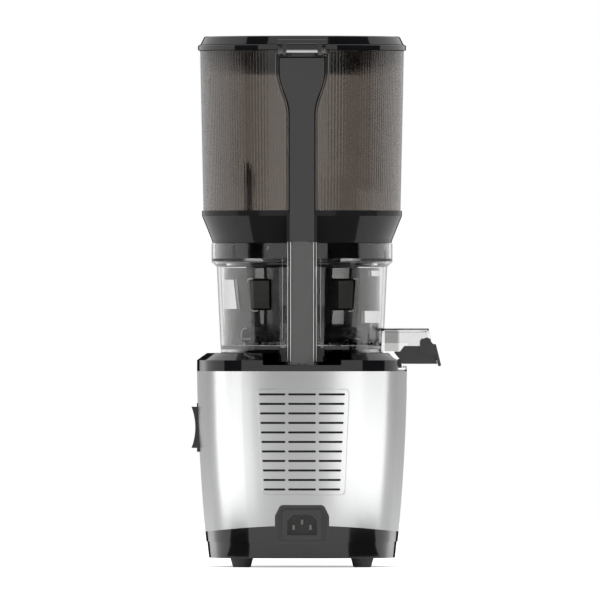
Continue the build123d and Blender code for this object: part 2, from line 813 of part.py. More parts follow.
def inlet_socket():
    """The three-pin mains inlet: a flange, a body behind it and a keyed cavity."""
    rear = rear_at(SOCKET_CENTRE_Z)
    width, height = SOCKET_FLANGE
    flange = from_behind(
        Pos(0, SOCKET_CENTRE_Z) * RectangleRounded(width, height, 3),
        -rear - 1.6, -rear + 0.6,
    )
    body = from_behind(
        Pos(0, SOCKET_CENTRE_Z) * RectangleRounded(width - 3, height - 3, 2),
        -rear + 0.6, -rear + INLET_BODY_DEPTH,
    )
    cavity = from_behind(
        socket_outline(*SOCKET_CAVITY), -rear - 3, -rear - 1.6 + SOCKET_CAVITY_DEPTH
    )
    return flange + body - cavity - pin_shapes()


def pin_shapes():
    """The three flat pins: line and neutral below, earth raised between them."""
    rear = rear_at(SOCKET_CENTRE_Z)
    back = -rear - 1.6 + SOCKET_CAVITY_DEPTH
    height, width = PIN_SIZE
    pins = []
    for x, z in (
        (-PIN_SPACING / 2, -PIN_DROP), (0, EARTH_RISE), (PIN_SPACING / 2, -PIN_DROP),
    ):
        centre = SOCKET_CENTRE_Z + z
        pins.append(
            block(
                (x - width / 2, x + width / 2), (back - PIN_LENGTH, back + 10),
                (centre - height / 2, centre + height / 2),
            )
        )
    return Part() + pins


# ---------------------------------------------------------------- power switch


def switch_face(depth, height, radius):
    """A rounded rectangle on the -X side, pushed inwards from outside the shell."""
    return Plane.YZ * Pos(0, SWITCH_Z) * RectangleRounded(depth, height, radius)


def side_slab(depth, height, radius, outer, inner):
    """A rounded slab between two distances out along -X."""
    face = switch_face(depth, height, radius)
    return Pos(-outer, 0, 0) * extrude(face, outer - inner)


def switch_opening():
    """The hole for the switch body in the shell's -X side."""
    return side_slab(SWITCH_DEPTH - 4, SWITCH_HEIGHT - 4, 2.0, THROUGH, TOP_HALF_WIDTH / 2)


def switch_outer():
    """How far out the flat of the switch bezel stands."""
    return half_width(SWITCH_Z) + SWITCH_FLANGE - 1.0


def switch_bezel():
    """The switch's frame and body: a flange on the shell and a box through it."""
    outer = switch_outer()
    flange = side_slab(SWITCH_DEPTH, SWITCH_HEIGHT, 3.0, outer, outer - SWITCH_FLANGE)
    flange -= body_loft(SWITCH_Z - 40, SWITCH_Z + 40, 0.0, 3)
    body = side_slab(SWITCH_DEPTH - 4, SWITCH_HEIGHT - 4, 2.0, outer - 1.0, outer - 22)
    room = side_slab(
        ROCKER_DEPTH + 2 * REST_GAP, ROCKER_HEIGHT + 2 * REST_GAP, ROCKER_CORNER,
        THROUGH, outer - 14,
    )
    pivot = rocker_pivot(RUNNING, SWITCH_DEPTH / 2 - 0.6)
    return flange + body - room - pivot


def rocker_centre():
    """The rocker's pivot, out along -X."""
    return switch_outer() - ROCKER_PIVOT_IN


def rocker_pivot(extra, reach):
    """The rocker's pivot stubs, along Y."""
    pin = Rot(90, 0, 0) * Cylinder(1.5 + extra, 2 * reach)
    return Pos(-rocker_centre(), 0, SWITCH_Z) * pin


def switch_rocker():
    """The three-position rocker, dished between two proud ends."""
    centre, outer = rocker_centre(), switch_outer()
    half = ROCKER_HEIGHT / 2 - ROCKER_END_GAP
    proud = outer + ROCKER_PROUD
    edge = [
        ThreePointArc(
            (-proud, SWITCH_Z - half), (-outer - 1.4, SWITCH_Z), (-proud, SWITCH_Z + half)
        ),
        Polyline(
            (-proud, SWITCH_Z + half), (-outer + 1.5, SWITCH_Z + half),
            (-centre + 5.0, SWITCH_Z + 4), (-centre + 5.0, SWITCH_Z - 4),
            (-outer + 1.5, SWITCH_Z - half), (-proud, SWITCH_Z - half),
        ),
    ]
    half_depth = ROCKER_DEPTH / 2
    rocker = from_behind(make_face(edge), -half_depth, half_depth)
    rocker &= side_slab(ROCKER_DEPTH, 2 * half, ROCKER_CORNER, THROUGH, 0)
    return rocker + rocker_pivot(0.0, SWITCH_DEPTH / 2 - 1)


# ---------------------------------------------------------------- bowl


def bowl_radius(z):
    """The bowl's outer radius below the collar."""
    share = (z - BOWL_BOTTOM) / (BOWL_TAPER_TOP - BOWL_BOTTOM)
    return between(BOWL_LOW_RADIUS, BOWL_TOP_RADIUS, share)


def bowl_inner(z):
    """The bowl's inner radius below the collar."""
    return bowl_radius(z) - BOWL_WALL


def bowl_form():
    """The bowl's round walls, floor and skirt."""
    floor_low = BOWL_FLOOR_TOP - BOWL_FLOOR
    seat_radius = bowl_inner(STRAINER_SEAT) + STRAINER_SEAT_IN
    collar_inner = COLLAR_RADIUS - BOWL_WALL
    return turned(
        (bowl_radius(BOWL_BOTTOM), BOWL_BOTTOM), (BOWL_TOP_RADIUS, BOWL_TAPER_TOP),
        (COLLAR_RADIUS, COLLAR_LOW), (COLLAR_RADIUS, COLLAR_TOP),
        (collar_inner, COLLAR_TOP), (collar_inner, STRAINER_SEAT + 5.0),
        (seat_radius, STRAINER_SEAT + 2.6), (seat_radius, STRAINER_SEAT),
        (bowl_inner(STRAINER_SEAT), STRAINER_SEAT),
        (bowl_inner(BOWL_FLOOR_TOP), BOWL_FLOOR_TOP), (0, BOWL_FLOOR_TOP),
        (0, floor_low), (bowl_inner(floor_low), floor_low),
        (bowl_inner(BOWL_BOTTOM), BOWL_BOTTOM),
    )


def bowl_channel():
    """The rear channel for the interlock rod, from the skirt to above the collar."""
    half = CHANNEL_HALF
    outer = block((-half, half), (-CHANNEL_REAR, -60), (BOWL_BOTTOM, CHANNEL_TOP))
    outer = fillet(
        outer.edges().filter_by(Axis.Z).group_by(Axis.Y)[0], CHANNEL_WALL / 2
    )
    inside = turned(
        (0, BOWL_BOTTOM - 1), (bowl_inner(BOWL_BOTTOM), BOWL_BOTTOM - 1),
        (bowl_inner(BOWL_TAPER_TOP), BOWL_TAPER_TOP),
        (COLLAR_RADIUS - BOWL_WALL, COLLAR_LOW), (COLLAR_RADIUS - BOWL_WALL, COLLAR_TOP),
        (COLLAR_RADIUS + REST_GAP, COLLAR_TOP), (COLLAR_RADIUS + REST_GAP, CHANNEL_TOP + 1),
        (0, CHANNEL_TOP + 1),
    )
    return outer - inside


def channel_room():
    """The room for the rod inside the channel, open above and below."""
    half = CHANNEL_HALF - CHANNEL_WALL
    front = COLLAR_RADIUS + 1.0
    rear = CHANNEL_REAR - CHANNEL_WALL + 0.4
    room = block((-half, half), (-rear, -front), (BOWL_BOTTOM - 1, CHANNEL_TOP + 1))
    deeper = BOWL_TOP_RADIUS + 0.6
    return room + block((-half, half), (-rear, -deeper), (BOWL_BOTTOM + 2, BOWL_TAPER_TOP - 2))


def sleeve(inner, outer, half, low, high):
    """A piece of a ring between two radii, on the front side, cut to a half width."""
    band = ring(outer, inner, low, high)
    return band & block((-half, half), (0, THROUGH), (low, high))


def end_x(z):
    """Where the spout's sloping end stands at a height."""
    return DUCT_END_TOP + DUCT_SLOPE * (DUCT_TOP - z)


def duct_form():
    """The clear juice duct's outer form."""
    root = DUCT_ROOT_END
    face = make_face(
        Polyline(
            (55, DUCT_TOP), (end_x(DUCT_TOP), DUCT_TOP), (end_x(DUCT_BOTTOM), DUCT_BOTTOM),
            (root + 3.6, DUCT_BOTTOM), (root, DUCT_ROOT_BOTTOM), (55, DUCT_ROOT_BOTTOM),
            close=True,
        )
    )
    form = from_behind(face, -DUCT_HALF, DUCT_HALF)
    return fillet(form.edges().filter_by(Axis.X).group_by(Axis.Z)[-1], 4.0)


def duct_room():
    """The juice's way through the duct, with a drop hole over the nozzle."""
    half = DUCT_HALF - DUCT_WALL
    top, floor = DUCT_TOP - DUCT_WALL, DUCT_BOTTOM + DUCT_WALL
    face = make_face(
        Polyline(
            (60, top), (end_x(top) - DUCT_WALL, top), (end_x(floor) - DUCT_WALL, floor),
            (60, floor), close=True,
        )
    )
    room = from_behind(face, -half, half)
    drop = block((88, 101), (4 - half, half - 4), (DUCT_BOTTOM - 1, floor + 1))
    return room + drop


def bowl_moulding():
    """The clear bowl's walls, floor, channel and duct, in one."""
    floor_low = BOWL_FLOOR_TOP - BOWL_FLOOR
    duct = duct_form() - disc(bowl_radius(DUCT_TOP) - 1, BOWL_BOTTOM, DUCT_TOP + 1)
    form = bowl_form() + duct + bowl_channel() - channel_room()
    form -= duct_room() - disc(bowl_inner(DUCT_TOP) - 3, BOWL_BOTTOM, DUCT_TOP)
    half = CHUTE_HALF + REST_GAP
    return form - block((-half, half), (40, THROUGH), (0, floor_low))


def duct_side():
    """The space beyond the flat joint where the duct meets the bowl's wall."""
    return block((DUCT_JOINT, THROUGH), (-THROUGH, THROUGH), (0, DUCT_TOP + 1))


def foot_side():
    """The space below the floor's top, but for the rear channel."""
    half = CHANNEL_HALF
    below = block((-THROUGH, THROUGH), (-THROUGH, THROUGH), (0, BOWL_FLOOR_TOP))
    return below - block((-half, half), (-THROUGH, -CHANNEL_JOINT), (0, BOWL_FLOOR_TOP))


def bowl():
    """The clear bowl: its round wall, collar, rear channel and bayonet pins."""
    form = bowl_moulding() - duct_side() - foot_side()
    for pin in bayonet_pins():
        form += pin
    return form


def bowl_foot():
    """The bowl's floor and skirt, with the seal's and the idler's bosses and the pulp port."""
    floor_low = BOWL_FLOOR_TOP - BOWL_FLOOR
    form = (bowl_moulding() & foot_side()) - duct_side()
    form += disc(SEAL_RADIUS + 3, floor_low - 7, floor_low + 1)
    form -= disc(SEAL_RADIUS, floor_low - 6, THROUGH)
    form -= disc(STEM_RADIUS + 1.5, 0, THROUGH)
    form += disc(IDLER_PIN_RADIUS + 2.5, floor_low - 6, floor_low + 1, (IDLER_X, 0))
    form -= disc(IDLER_PIN_RADIUS, 0, THROUGH, (IDLER_X, 0))
    form += sleeve(
        PORT_INNER - PORT_WALL, PORT_OUTER + PORT_WALL, PORT_HALF + PORT_WALL,
        BOWL_FLOOR_TOP - 1, STRAINER_FLOOR,
    )
    return form - sleeve(PORT_INNER, PORT_OUTER, PORT_HALF, floor_low - 1, STRAINER_FLOOR + 1)


def juice_duct():
    """The clear duct that leads the juice from the bowl's wall to the nozzle."""
    return bowl_moulding() & duct_side()


def bayonet_pins():
    """Round pins inside the collar that lock the hopper base."""
    reach = COLLAR_RADIUS - BOWL_WALL
    pin = Pos(reach - NECK_GAP, 0, BAYONET_Z) * Rot(0, 90, 0) * Cylinder(
        BAYONET_RADIUS, 2 * NECK_GAP + 1.6
    )
    return around(BAYONET_COUNT, pin, BAYONET_ANGLE)


def bowl_seal():
    """The lipped seal in the bowl floor, round the auger's stem."""
    low = BOWL_FLOOR_TOP - BOWL_FLOOR - 6
    high = BOWL_FLOOR_TOP + 0.4
    near = STEM_RADIUS + RUNNING
    return turned(
        (near, low + 1), (near + 1.5, low), (SEAL_RADIUS, low), (SEAL_RADIUS, high - 1),
        (near + 1.5, high), (near, high - 1), (near + 0.9, high - 3),
        (near + 0.9, low + 3),
    )


def idler_pin():
    """The steel pin that carries the idler gear, through the bowl floor."""
    at = (IDLER_X, 0)
    low = RECESS_FLOOR + 2 * REST_GAP
    return disc(IDLER_PIN_RADIUS, low, FLOOR_GEAR_HIGH + 1.0, at)


def idler_gear():
    """The idler between the auger's gear and the wiper's ring."""
    step = 360 / IDLER_TEETH
    form = gear(
        FLOOR_MODULE, IDLER_TEETH, FLOOR_GEAR_LOW, FLOOR_GEAR_HIGH,
        (IDLER_X, 0), 180 + step / 2,
    )
    return form - disc(IDLER_PIN_RADIUS + RUNNING, 0, THROUGH, (IDLER_X, 0))


# ---------------------------------------------------------------- strainer


def strainer_outer(z):
    """The strainer's outer radius at a height."""
    share = (z - STRAINER_FLOOR) / (STRAINER_SEAT - STRAINER_FLOOR)
    return between(STRAINER_LOW_RADIUS, STRAINER_TOP_RADIUS, share)


def cone_wall(inset_out, inset_in, low, high):
    """A tapered wall that follows the strainer, by its insets from the outside."""
    return turned(
        (strainer_outer(low) - inset_out, low), (strainer_outer(high) - inset_out, high),
        (strainer_outer(high) - inset_in, high), (strainer_outer(low) - inset_in, low),
    )


def strainer_frame():
    """The black strainer basket: flange, tapered wall with windows, and floor."""
    top = FLANGE_LOW + FLANGE_THICK
    floor_top = STRAINER_FLOOR + STRAINER_FLOOR_THICK
    frame = cone_wall(0.0, STRAINER_WALL, STRAINER_FLOOR, top)
    flange_radius = bowl_inner(STRAINER_SEAT) + STRAINER_SEAT_IN - REST_GAP
    inner = strainer_outer(top) - STRAINER_WALL
    frame += ring(flange_radius, inner, FLANGE_LOW, top)
    frame += disc(strainer_outer(STRAINER_FLOOR), STRAINER_FLOOR, floor_top)
    frame -= disc(FLOOR_MODULE * AUGER_TEETH / 2 + 2.6, 0, THROUGH)
    frame -= sleeve(PORT_INNER, PORT_OUTER, PORT_HALF, STRAINER_FLOOR - 1, floor_top + 1)
    for low, high, half in WINDOW_ROWS:
        window = block((-half, half), (-THROUGH, -25), (low, high))
        frame -= Part() + [Rot(0, 0, a) * window for a in WINDOW_ANGLES]
    return frame


def strainer_mesh():
    """The metal mesh that lines the frame's wall."""
    low = STRAINER_FLOOR + STRAINER_FLOOR_THICK
    return cone_wall(STRAINER_WALL, STRAINER_WALL + MESH_WALL, low, FLANGE_LOW)


# ---------------------------------------------------------------- wiper


def wiper_window(half_angle, low, high, middle, narrow_by):
    """A window cut in the wiper's wall, about an angle, narrower above by an angle."""
    points = []
    for z, half in ((low, half_angle), (high, half_angle - narrow_by)):
        for side in (-1, 1):
            points.append((z, WIPER_RADIUS * 1.2 * math.tan(math.radians(side * half))))
    (z0, a), (_, b), (z1, c), (_, d) = points
    reach = WIPER_RADIUS * 1.2
    face = make_face(Polyline((a, z0), (b, z0), (d, z1), (c, z1), close=True))
    inner = WIPER_RADIUS * 0.6
    wedge = loft(
        [
            Plane.YZ.offset(inner) * scale(face, (inner / reach, 1, 1)),
            Plane.YZ.offset(reach) * face,
        ],
        ruled=True,
    )
    return Rot(0, 0, middle) * wedge


def wiper_frame():
    """The smoked cage that carries the blades, with its arms and windows."""
    low = BOWL_FLOOR_TOP + REST_GAP + WIPER_FLOOR
    inner = WIPER_RADIUS - WIPER_WALL
    frame = ring(WIPER_RADIUS, inner, low, WIPER_TOP)
    for angle in ARM_ANGLES:
        arm = block(
            (inner - ARM_REACH, inner + 0.5), (-ARM_THICK / 2, ARM_THICK / 2),
            (low, WIPER_TOP),
        )
        frame += Rot(0, 0, angle) * arm
    for window in WIPER_WINDOWS:
        frame -= wiper_window(*window)
    return frame


def wiper_ring():
    """The wiper's floor and hub, with the ring gear that turns it."""
    low = BOWL_FLOOR_TOP + REST_GAP
    hub_inner = FLOOR_MODULE * RING_TEETH / 2 - 1.2
    form = ring(WIPER_RADIUS, WIPER_HUB_RADIUS - 1, low, low + WIPER_FLOOR)
    form += turned(
        (hub_inner, low), (WIPER_HUB_RADIUS, low), (WIPER_HUB_RADIUS, WIPER_HUB_TOP - 3),
        (WIPER_HUB_RADIUS - 3, WIPER_HUB_TOP), (hub_inner + 1, WIPER_HUB_TOP),
        (hub_inner, WIPER_HUB_TOP - 1),
    )
    return form - ring_gear_space(
        FLOOR_MODULE, RING_TEETH, low - 1, FLOOR_GEAR_HIGH + 0.4, 0.0
    )


def wiper_blades():
    """Two silicone lips that sweep the bowl and two that sweep the strainer."""
    low, high = BOWL_FLOOR_TOP + 6, WIPER_TOP - 2
    gap = REST_GAP
    sweep = turned(
        (WIPER_RADIUS, low), (bowl_inner(low) - gap, low), (bowl_inner(high) - gap, high),
        (WIPER_RADIUS, high),
    )
    half = BLADE_THICK / 2
    blades = []
    for angle in BLADE_ANGLES:
        lip = sweep & block((50, 80), (-half, half), (low, high))
        blades.append(Rot(0, 0, angle) * lip)
    arm_end = WIPER_RADIUS - WIPER_WALL - ARM_REACH
    low = WIPER_HUB_TOP + 1
    sweep = turned(
        (strainer_outer(low) + gap, low), (arm_end, low), (arm_end, high),
        (strainer_outer(high) + gap, high),
    )
    for angle in ARM_ANGLES:
        lip = sweep & block((30, arm_end), (-half, half), (low, high))
        blades.append(Rot(0, 0, angle) * lip)
    return blades


# ---------------------------------------------------------------- auger


def flight():
    """One helical flight, cut to the strainer's taper by the caller."""
    rise = AUGER_CORE_TOP - AUGER_LOW - FLIGHT_THICK
    start = AUGER_LOW + FLIGHT_THICK / 2
    inner, outer = AUGER_CORE_HIGH - 5, STRAINER_TOP_RADIUS + 2
    path = Pos(0, 0, start) * Helix(FLIGHT_PITCH, rise, inner)
    half = FLIGHT_THICK / 2
    face = make_face(
        Polyline(
            (0, -half), (outer - inner, -half * 0.55), (outer - inner, half * 0.55),
            (0, half), close=True,
        )
    )
    section = Plane(origin=path @ 0, x_dir=(1, 0, 0), z_dir=(0, -1, 0)) * face
    return sweep(section, path=path, is_frenet=True)


def auger():
    """The juicing screw: a core that widens downwards, flights, gear and stem."""
    top, gap = AUGER_CORE_TOP, AUGER_GAP + STRAINER_WALL + MESH_WALL
    core = turned(
        (0, AUGER_LOW), (AUGER_CORE_LOW, AUGER_LOW), (AUGER_CORE_HIGH, top - 8),
        (AUGER_CORE_HIGH - 4, top), (8, AUGER_TIP - 3), (5, AUGER_TIP), (0, AUGER_TIP),
    )
    envelope = turned(
        (0, AUGER_LOW), (strainer_outer(AUGER_LOW) - gap, AUGER_LOW),
        (strainer_outer(top) - gap, top), (0, top),
    )
    wing = (Rot(0, 0, FLIGHT_START_ANGLE) * flight() & envelope) - core
    screw = core + around(FLIGHT_STARTS, wing)
    neck = FLOOR_MODULE * AUGER_TEETH / 2 - 3
    screw += disc(neck, FLOOR_GEAR_HIGH - 1, AUGER_LOW + 1)
    screw += gear(FLOOR_MODULE, AUGER_TEETH, FLOOR_GEAR_LOW, FLOOR_GEAR_HIGH)
    screw += disc(STEM_RADIUS, SHAFT_SHOULDER + 3, FLOOR_GEAR_LOW + 1)
    screw -= disc(SOCKET_RADIUS, 0, HEX_TOP + 2)
    return screw - blade_form()


def auger_socket():
    """The metal hexagon socket in the auger's stem."""
    low = SHAFT_SHOULDER + 3.5
    hexagon = RegularPolygon(
        HEX_ACROSS / 2 + HEX_GAP, 6, major_radius=False
    )
    bore = Pos(0, 0, low - 1) * extrude(hexagon, HEX_TOP + 2 - low)
    return disc(SOCKET_RADIUS, low, HEX_TOP + 2) - bore


def blade_form():
    """The cutting blade's form: a curved wing on the auger's crown."""
    low, high = AUGER_CORE_TOP - 6, AUGER_TIP - 4
    wing = [
        ThreePointArc((0, -3), (18, -9), (38, 2)),
        Line((38, 2), (36, 5)),
        ThreePointArc((36, 5), (17, -4), (0, 3)),
        Line((0, 3), (0, -3)),
    ]
    half = extrude(Pos(0, 0, low) * make_face(wing), high - low)
    taper = turned((0, low), (38, low), (38, low + 5), (10, high), (0, high))
    return (half + Rot(0, 0, 180) * half) & taper


# ---------------------------------------------------------------- juice nozzle and cap


def nozzle_outline():
    """The nozzle seen from behind, with its bevel beside the top cover."""
    low_left = SPOUT_CUT_X + 2.6
    return make_face(
        Polyline(
            (DUCT_ROOT_END + 3.8, DUCT_BOTTOM), (end_x(DUCT_BOTTOM), DUCT_BOTTOM),
            (end_x(NOZZLE_BOTTOM), NOZZLE_BOTTOM), (low_left + 1.6, NOZZLE_BOTTOM),
            (low_left, NOZZLE_BOTTOM + 3), (low_left - 5, DUCT_ROOT_BOTTOM - 1.4),
            (low_left - 5, DUCT_ROOT_BOTTOM - 0.2), (DUCT_ROOT_END + 0.2, DUCT_ROOT_BOTTOM - 0.2),
            close=True,
        )
    )


def juice_nozzle():
    """The dark nozzle under the duct, with ears for the cap and a drip hook."""
    half = NOZZLE_HALF
    form = from_behind(nozzle_outline(), -half, half)
    ears = make_face(
        Polyline(
            (CAP_ARM_LEFT + 1, DUCT_BOTTOM - 1), (end_x(DUCT_BOTTOM - 1) - 0.6, DUCT_BOTTOM - 1),
            (end_x(CAP_PIVOT_Z + 2) - 0.6, CAP_PIVOT_Z + 2), (CAP_ARM_LEFT + 1, CAP_PIVOT_Z + 2),
            close=True,
        )
    )
    for side in (-1, 1):
        low, high = sorted((side * (DUCT_HALF + 0.1), side * half))
        form += from_behind(ears, low, high)
    inner = half - NOZZLE_WALL
    floor = NOZZLE_BOTTOM + NOZZLE_WALL
    form -= block((88, THROUGH), (-inner, inner), (floor, DUCT_BOTTOM - 2))
    form -= block((88, 101), (-inner, inner), (floor, DUCT_BOTTOM + 1))
    form += nozzle_hook()
    return form - cap_pins(0.0, RUNNING)


def nozzle_hook():
    """The drip hook that hangs from the nozzle's inner end."""
    left = SPOUT_CUT_X + REST_GAP
    right = half_width(SHELL_TOP) - LIP_REACH - 2 * REST_GAP
    return block((left, right), (-6, 6), (SHELL_TOP + 2.6, NOZZLE_BOTTOM + 4))


def cap_pins(shorten, extra):
    """The cap's two pivot stubs, along Y."""
    inner, outer = DUCT_HALF + 0.3 + shorten, NOZZLE_HALF + REST_GAP + CAP_ARM
    stubs = Part()
    for side in (-1, 1):
        stub = Rot(90, 0, 0) * Cylinder(CAP_PIN_RADIUS + extra, outer - inner)
        middle = side * (inner + outer) / 2
        stubs += Pos(CAP_PIVOT_X, middle, CAP_PIVOT_Z) * stub
    return stubs


def cap_plate():
    """The cap's sloping plate, with a rounded finger tip below."""
    near, far = REST_GAP, REST_GAP + CAP_THICK
    tip = CAP_TIP + CAP_THICK / 2
    plate = make_face(
        Polyline(
            (end_x(CAP_TOP) + near, CAP_TOP), (end_x(CAP_TOP) + far, CAP_TOP),
            (end_x(tip) + far, tip), (end_x(tip) + near, tip), close=True,
        )
    )
    end = Pos(end_x(tip) + near + CAP_THICK / 2, tip) * Circle(CAP_THICK / 2)
    half = NOZZLE_HALF + REST_GAP + CAP_ARM
    return from_behind(plate, -half, half) + from_behind(end, -half, half)


def juice_cap():
    """The flap that closes the spout: plate, two arms and pivot stubs."""
    far = REST_GAP + 0.5
    arm = make_face(
        Polyline(
            (CAP_ARM_LEFT, CAP_ARM_LOW), (end_x(CAP_ARM_LOW) + far, CAP_ARM_LOW),
            (end_x(CAP_TOP) + far, CAP_TOP), (CAP_PIVOT_X + CAP_BOSS_RADIUS, CAP_PIVOT_Z),
            (CAP_PIVOT_X + CAP_BOSS_RADIUS, CAP_PIVOT_Z + 0.5),
            (CAP_ARM_LEFT, CAP_PIVOT_Z + 0.5), close=True,
        )
    )
    notch = Pos(CAP_ARM_LEFT + 3.4, CAP_ARM_LOW) * Rectangle(1.2, 8.0)
    arm = arm - notch
    boss = Pos(CAP_PIVOT_X, CAP_PIVOT_Z) * Circle(CAP_BOSS_RADIUS)
    cap = cap_plate()
    inner, outer = NOZZLE_HALF + REST_GAP, NOZZLE_HALF + REST_GAP + CAP_ARM
    for side in (-1, 1):
        low, high = sorted((side * inner, side * outer))
        cap += from_behind(arm + boss, low, high)
    return cap + cap_pins(0.2, 0.0)


def cap_seal():
    """The silicone pad on the cap that closes the nozzle's mouth."""
    half = NOZZLE_HALF - NOZZLE_WALL - 0.5
    low, high = NOZZLE_BOTTOM + NOZZLE_WALL + 0.6, DUCT_BOTTOM - 3.2
    face = make_face(
        Polyline(
            (end_x(low) - 1.0, low), (end_x(low) + REST_GAP, low),
            (end_x(high) + REST_GAP, high), (end_x(high) - 1.0, high), close=True,
        )
    )
    return from_behind(face, -half, half)


# ---------------------------------------------------------------- pulp outlet


def chute_floor(y):
    """The height of the chute's sloping floor, between the port and the mouth."""
    start, end = PORT_INNER - CHUTE_START, CHUTE_END - CHUTE_MOUTH + CHUTE_WALL
    share = (y - start) / (end - start)
    return between(CHUTE_BOTTOM + CHUTE_RISE, CHUTE_BOTTOM + CHUTE_WALL, share)


def pulp_chute():
    """The pulp's way out under the bowl's floor: a covered chute that drops in front."""
    half, wall = CHUTE_HALF, CHUTE_WALL
    high, low = BOWL_FLOOR_TOP - BOWL_FLOOR, CHUTE_BOTTOM
    start, mouth = PORT_INNER - CHUTE_START - wall, CHUTE_END - CHUTE_MOUTH
    drop = low - CHUTE_DROP
    outline = Polyline(
        (start, high), (CHUTE_END - CHUTE_SLANT, high), (CHUTE_END, high - CHUTE_RISE),
        (CHUTE_END, drop), (mouth, drop), (mouth, low), (start, low), close=True,
    )
    form = extrude(Plane.YZ.offset(-half) * make_face(outline), 2 * half)
    port_end = PORT_OUTER + PORT_WALL
    room = Polyline(
        (start + wall, high + 1), (start + wall, chute_floor(start + wall)),
        (mouth + wall, chute_floor(mouth + wall)), (mouth + wall, drop - 1),
        (CHUTE_END - wall, drop - 1), (CHUTE_END - wall, high - CHUTE_RISE - 1),
        (CHUTE_END - CHUTE_SLANT - 1, high - wall), (port_end, high - wall),
        (port_end, high + 1), close=True,
    )
    hollow = Plane.YZ.offset(wall - half) * make_face(room)
    return form - extrude(hollow, 2 * (half - wall))


def pulp_plug():
    """The silicone flap that holds the pulp back, across the chute's way."""
    high = BOWL_FLOOR_TOP - BOWL_FLOOR - CHUTE_WALL
    half = CHUTE_HALF - CHUTE_WALL
    y = CHUTE_END - CHUTE_MOUTH - PLUG_BACK
    return block((-half, half), (y, y + PLUG_THICK), (chute_floor(y) + 4 * REST_GAP, high))


# ---------------------------------------------------------------- interlock


def rod_half(channel_half, wall):
    """A rod's half width inside its channel."""
    return channel_half - wall - ROD_SIDE_GAP


def lower_rod():
    """The rod in the bowl's channel, down to the base's plunger."""
    half = rod_half(CHANNEL_HALF, CHANNEL_WALL)
    low, high = PLUNGER_TOP + REST_GAP, CHANNEL_TOP - REST_GAP
    shoulder, narrow = CHANNEL_TOP - ROD_TRAVEL, upper_rod_half()
    thick = (-ROD_REAR, LOWER_ROD_THICK - ROD_REAR)
    rod = block((-half, half), thick, (low, shoulder))
    rod += block((-narrow, narrow), thick, (shoulder, high))
    rib = ROD_RIB
    relief = block((rib - half, half - rib), (2.0 - ROD_REAR, THROUGH), (low + 6, shoulder - 3))
    return rod - relief


def upper_rod_half():
    """The upper rod's half width, inside the spine."""
    return rod_half(SPINE_LOW_HALF, SPINE_WALL - 0.4)


def upper_rod():
    """The rod behind the spine, up to the lid's lobe."""
    half = upper_rod_half()
    high = lobe_bottom() - LOBE_GAP
    front = UPPER_ROD_THICK - ROD_REAR
    return block((-half, half), (-ROD_REAR, front), (CHANNEL_TOP, high))


def lobe_bottom():
    """The height of the lid lobe's tip."""
    return HINGE_Z - 2.3


def interlock_plunger():
    """The sprung pin in the base that the lower rod presses."""
    at, flange = (0, PLUNGER_Y), PLUNGER_FLANGE
    pin = disc(PLUNGER_RADIUS, flange[0], PLUNGER_TOP, at)
    pin += disc(PLUNGER_FLANGE_RADIUS, flange[0], flange[1], at)
    return pin + disc(PLUNGER_STEM_RADIUS, PLUNGER_TIP, flange[0] + 1, at)


def plunger_spring():
    """The return spring under the plunger's flange."""
    low = GUIDE_BOTTOM + GUIDE_FLOOR
    high = PLUNGER_FLANGE[0]
    rise = high - low - SPRING_WIRE
    path = Pos(0, 0, low + SPRING_WIRE / 2) * Helix(
        rise / SPRING_COILS, rise, SPRING_RADIUS
    )
    cut = Plane(origin=path @ 0, x_dir=(1, 0, 0), z_dir=path % 0)
    coil = sweep(cut * Rectangle(SPRING_WIRE, SPRING_WIRE), path=path, is_frenet=True)
    outer, inner = SPRING_RADIUS + 0.5, SPRING_RADIUS - 0.5
    flat = 0.8 * SPRING_WIRE
    coil += ring(outer, inner, low, low + flat) + ring(outer, inner, high - flat, high)
    return Pos(0, PLUNGER_Y, 0) * coil


def microswitch():
    """The switch under the plunger, held between the cover's two legs."""
    length, depth, height = MICROSWITCH
    low = GUIDE_BOTTOM - height
    body = block(
        (-length / 2, length / 2), (PLUNGER_Y - depth / 2, PLUNGER_Y + depth / 2),
        (low, PLUNGER_TIP - 1.4),
    )
    body += disc(1.2, PLUNGER_TIP - 2, PLUNGER_TIP - REST_GAP, (0, PLUNGER_Y))
    for x in (-7, 0, 7):
        body += block((x - 1.6, x + 1.6), (PLUNGER_Y - 0.4, PLUNGER_Y + 0.4), (low - 6, low + 1))
    return body


# ---------------------------------------------------------------- hopper


def hopper_outer(z):
    """The hopper's outer radius at a height."""
    share = (z - HOPPER_SEAT) / (HOPPER_TOP - HOPPER_SEAT)
    return between(HOPPER_LOW_RADIUS, HOPPER_TOP_RADIUS, share)


def spine_face(extra=0.0, low=CHANNEL_TOP + REST_GAP, high=SPINE_TOP):
    """The spine's outline from behind: wide at the hinge, narrow below an S-bend."""
    wide, narrow = SPINE_TOP_HALF + extra, SPINE_LOW_HALF + extra
    down = [(0, -1), (0, -1)]
    up = [(0, 1), (0, 1)]
    right = Spline((wide, SPINE_BEND_TOP), (narrow, SPINE_BEND_LOW), tangents=down)
    left = Spline((-narrow, SPINE_BEND_LOW), (-wide, SPINE_BEND_TOP), tangents=up)
    return make_face(
        [
            Polyline((-wide, SPINE_BEND_TOP), (-wide, high), (wide, high), (wide, SPINE_BEND_TOP)),
            right,
            Polyline(
                (narrow, SPINE_BEND_LOW), (narrow, low), (-narrow, low), (-narrow, SPINE_BEND_LOW)
            ),
            left,
        ]
    )


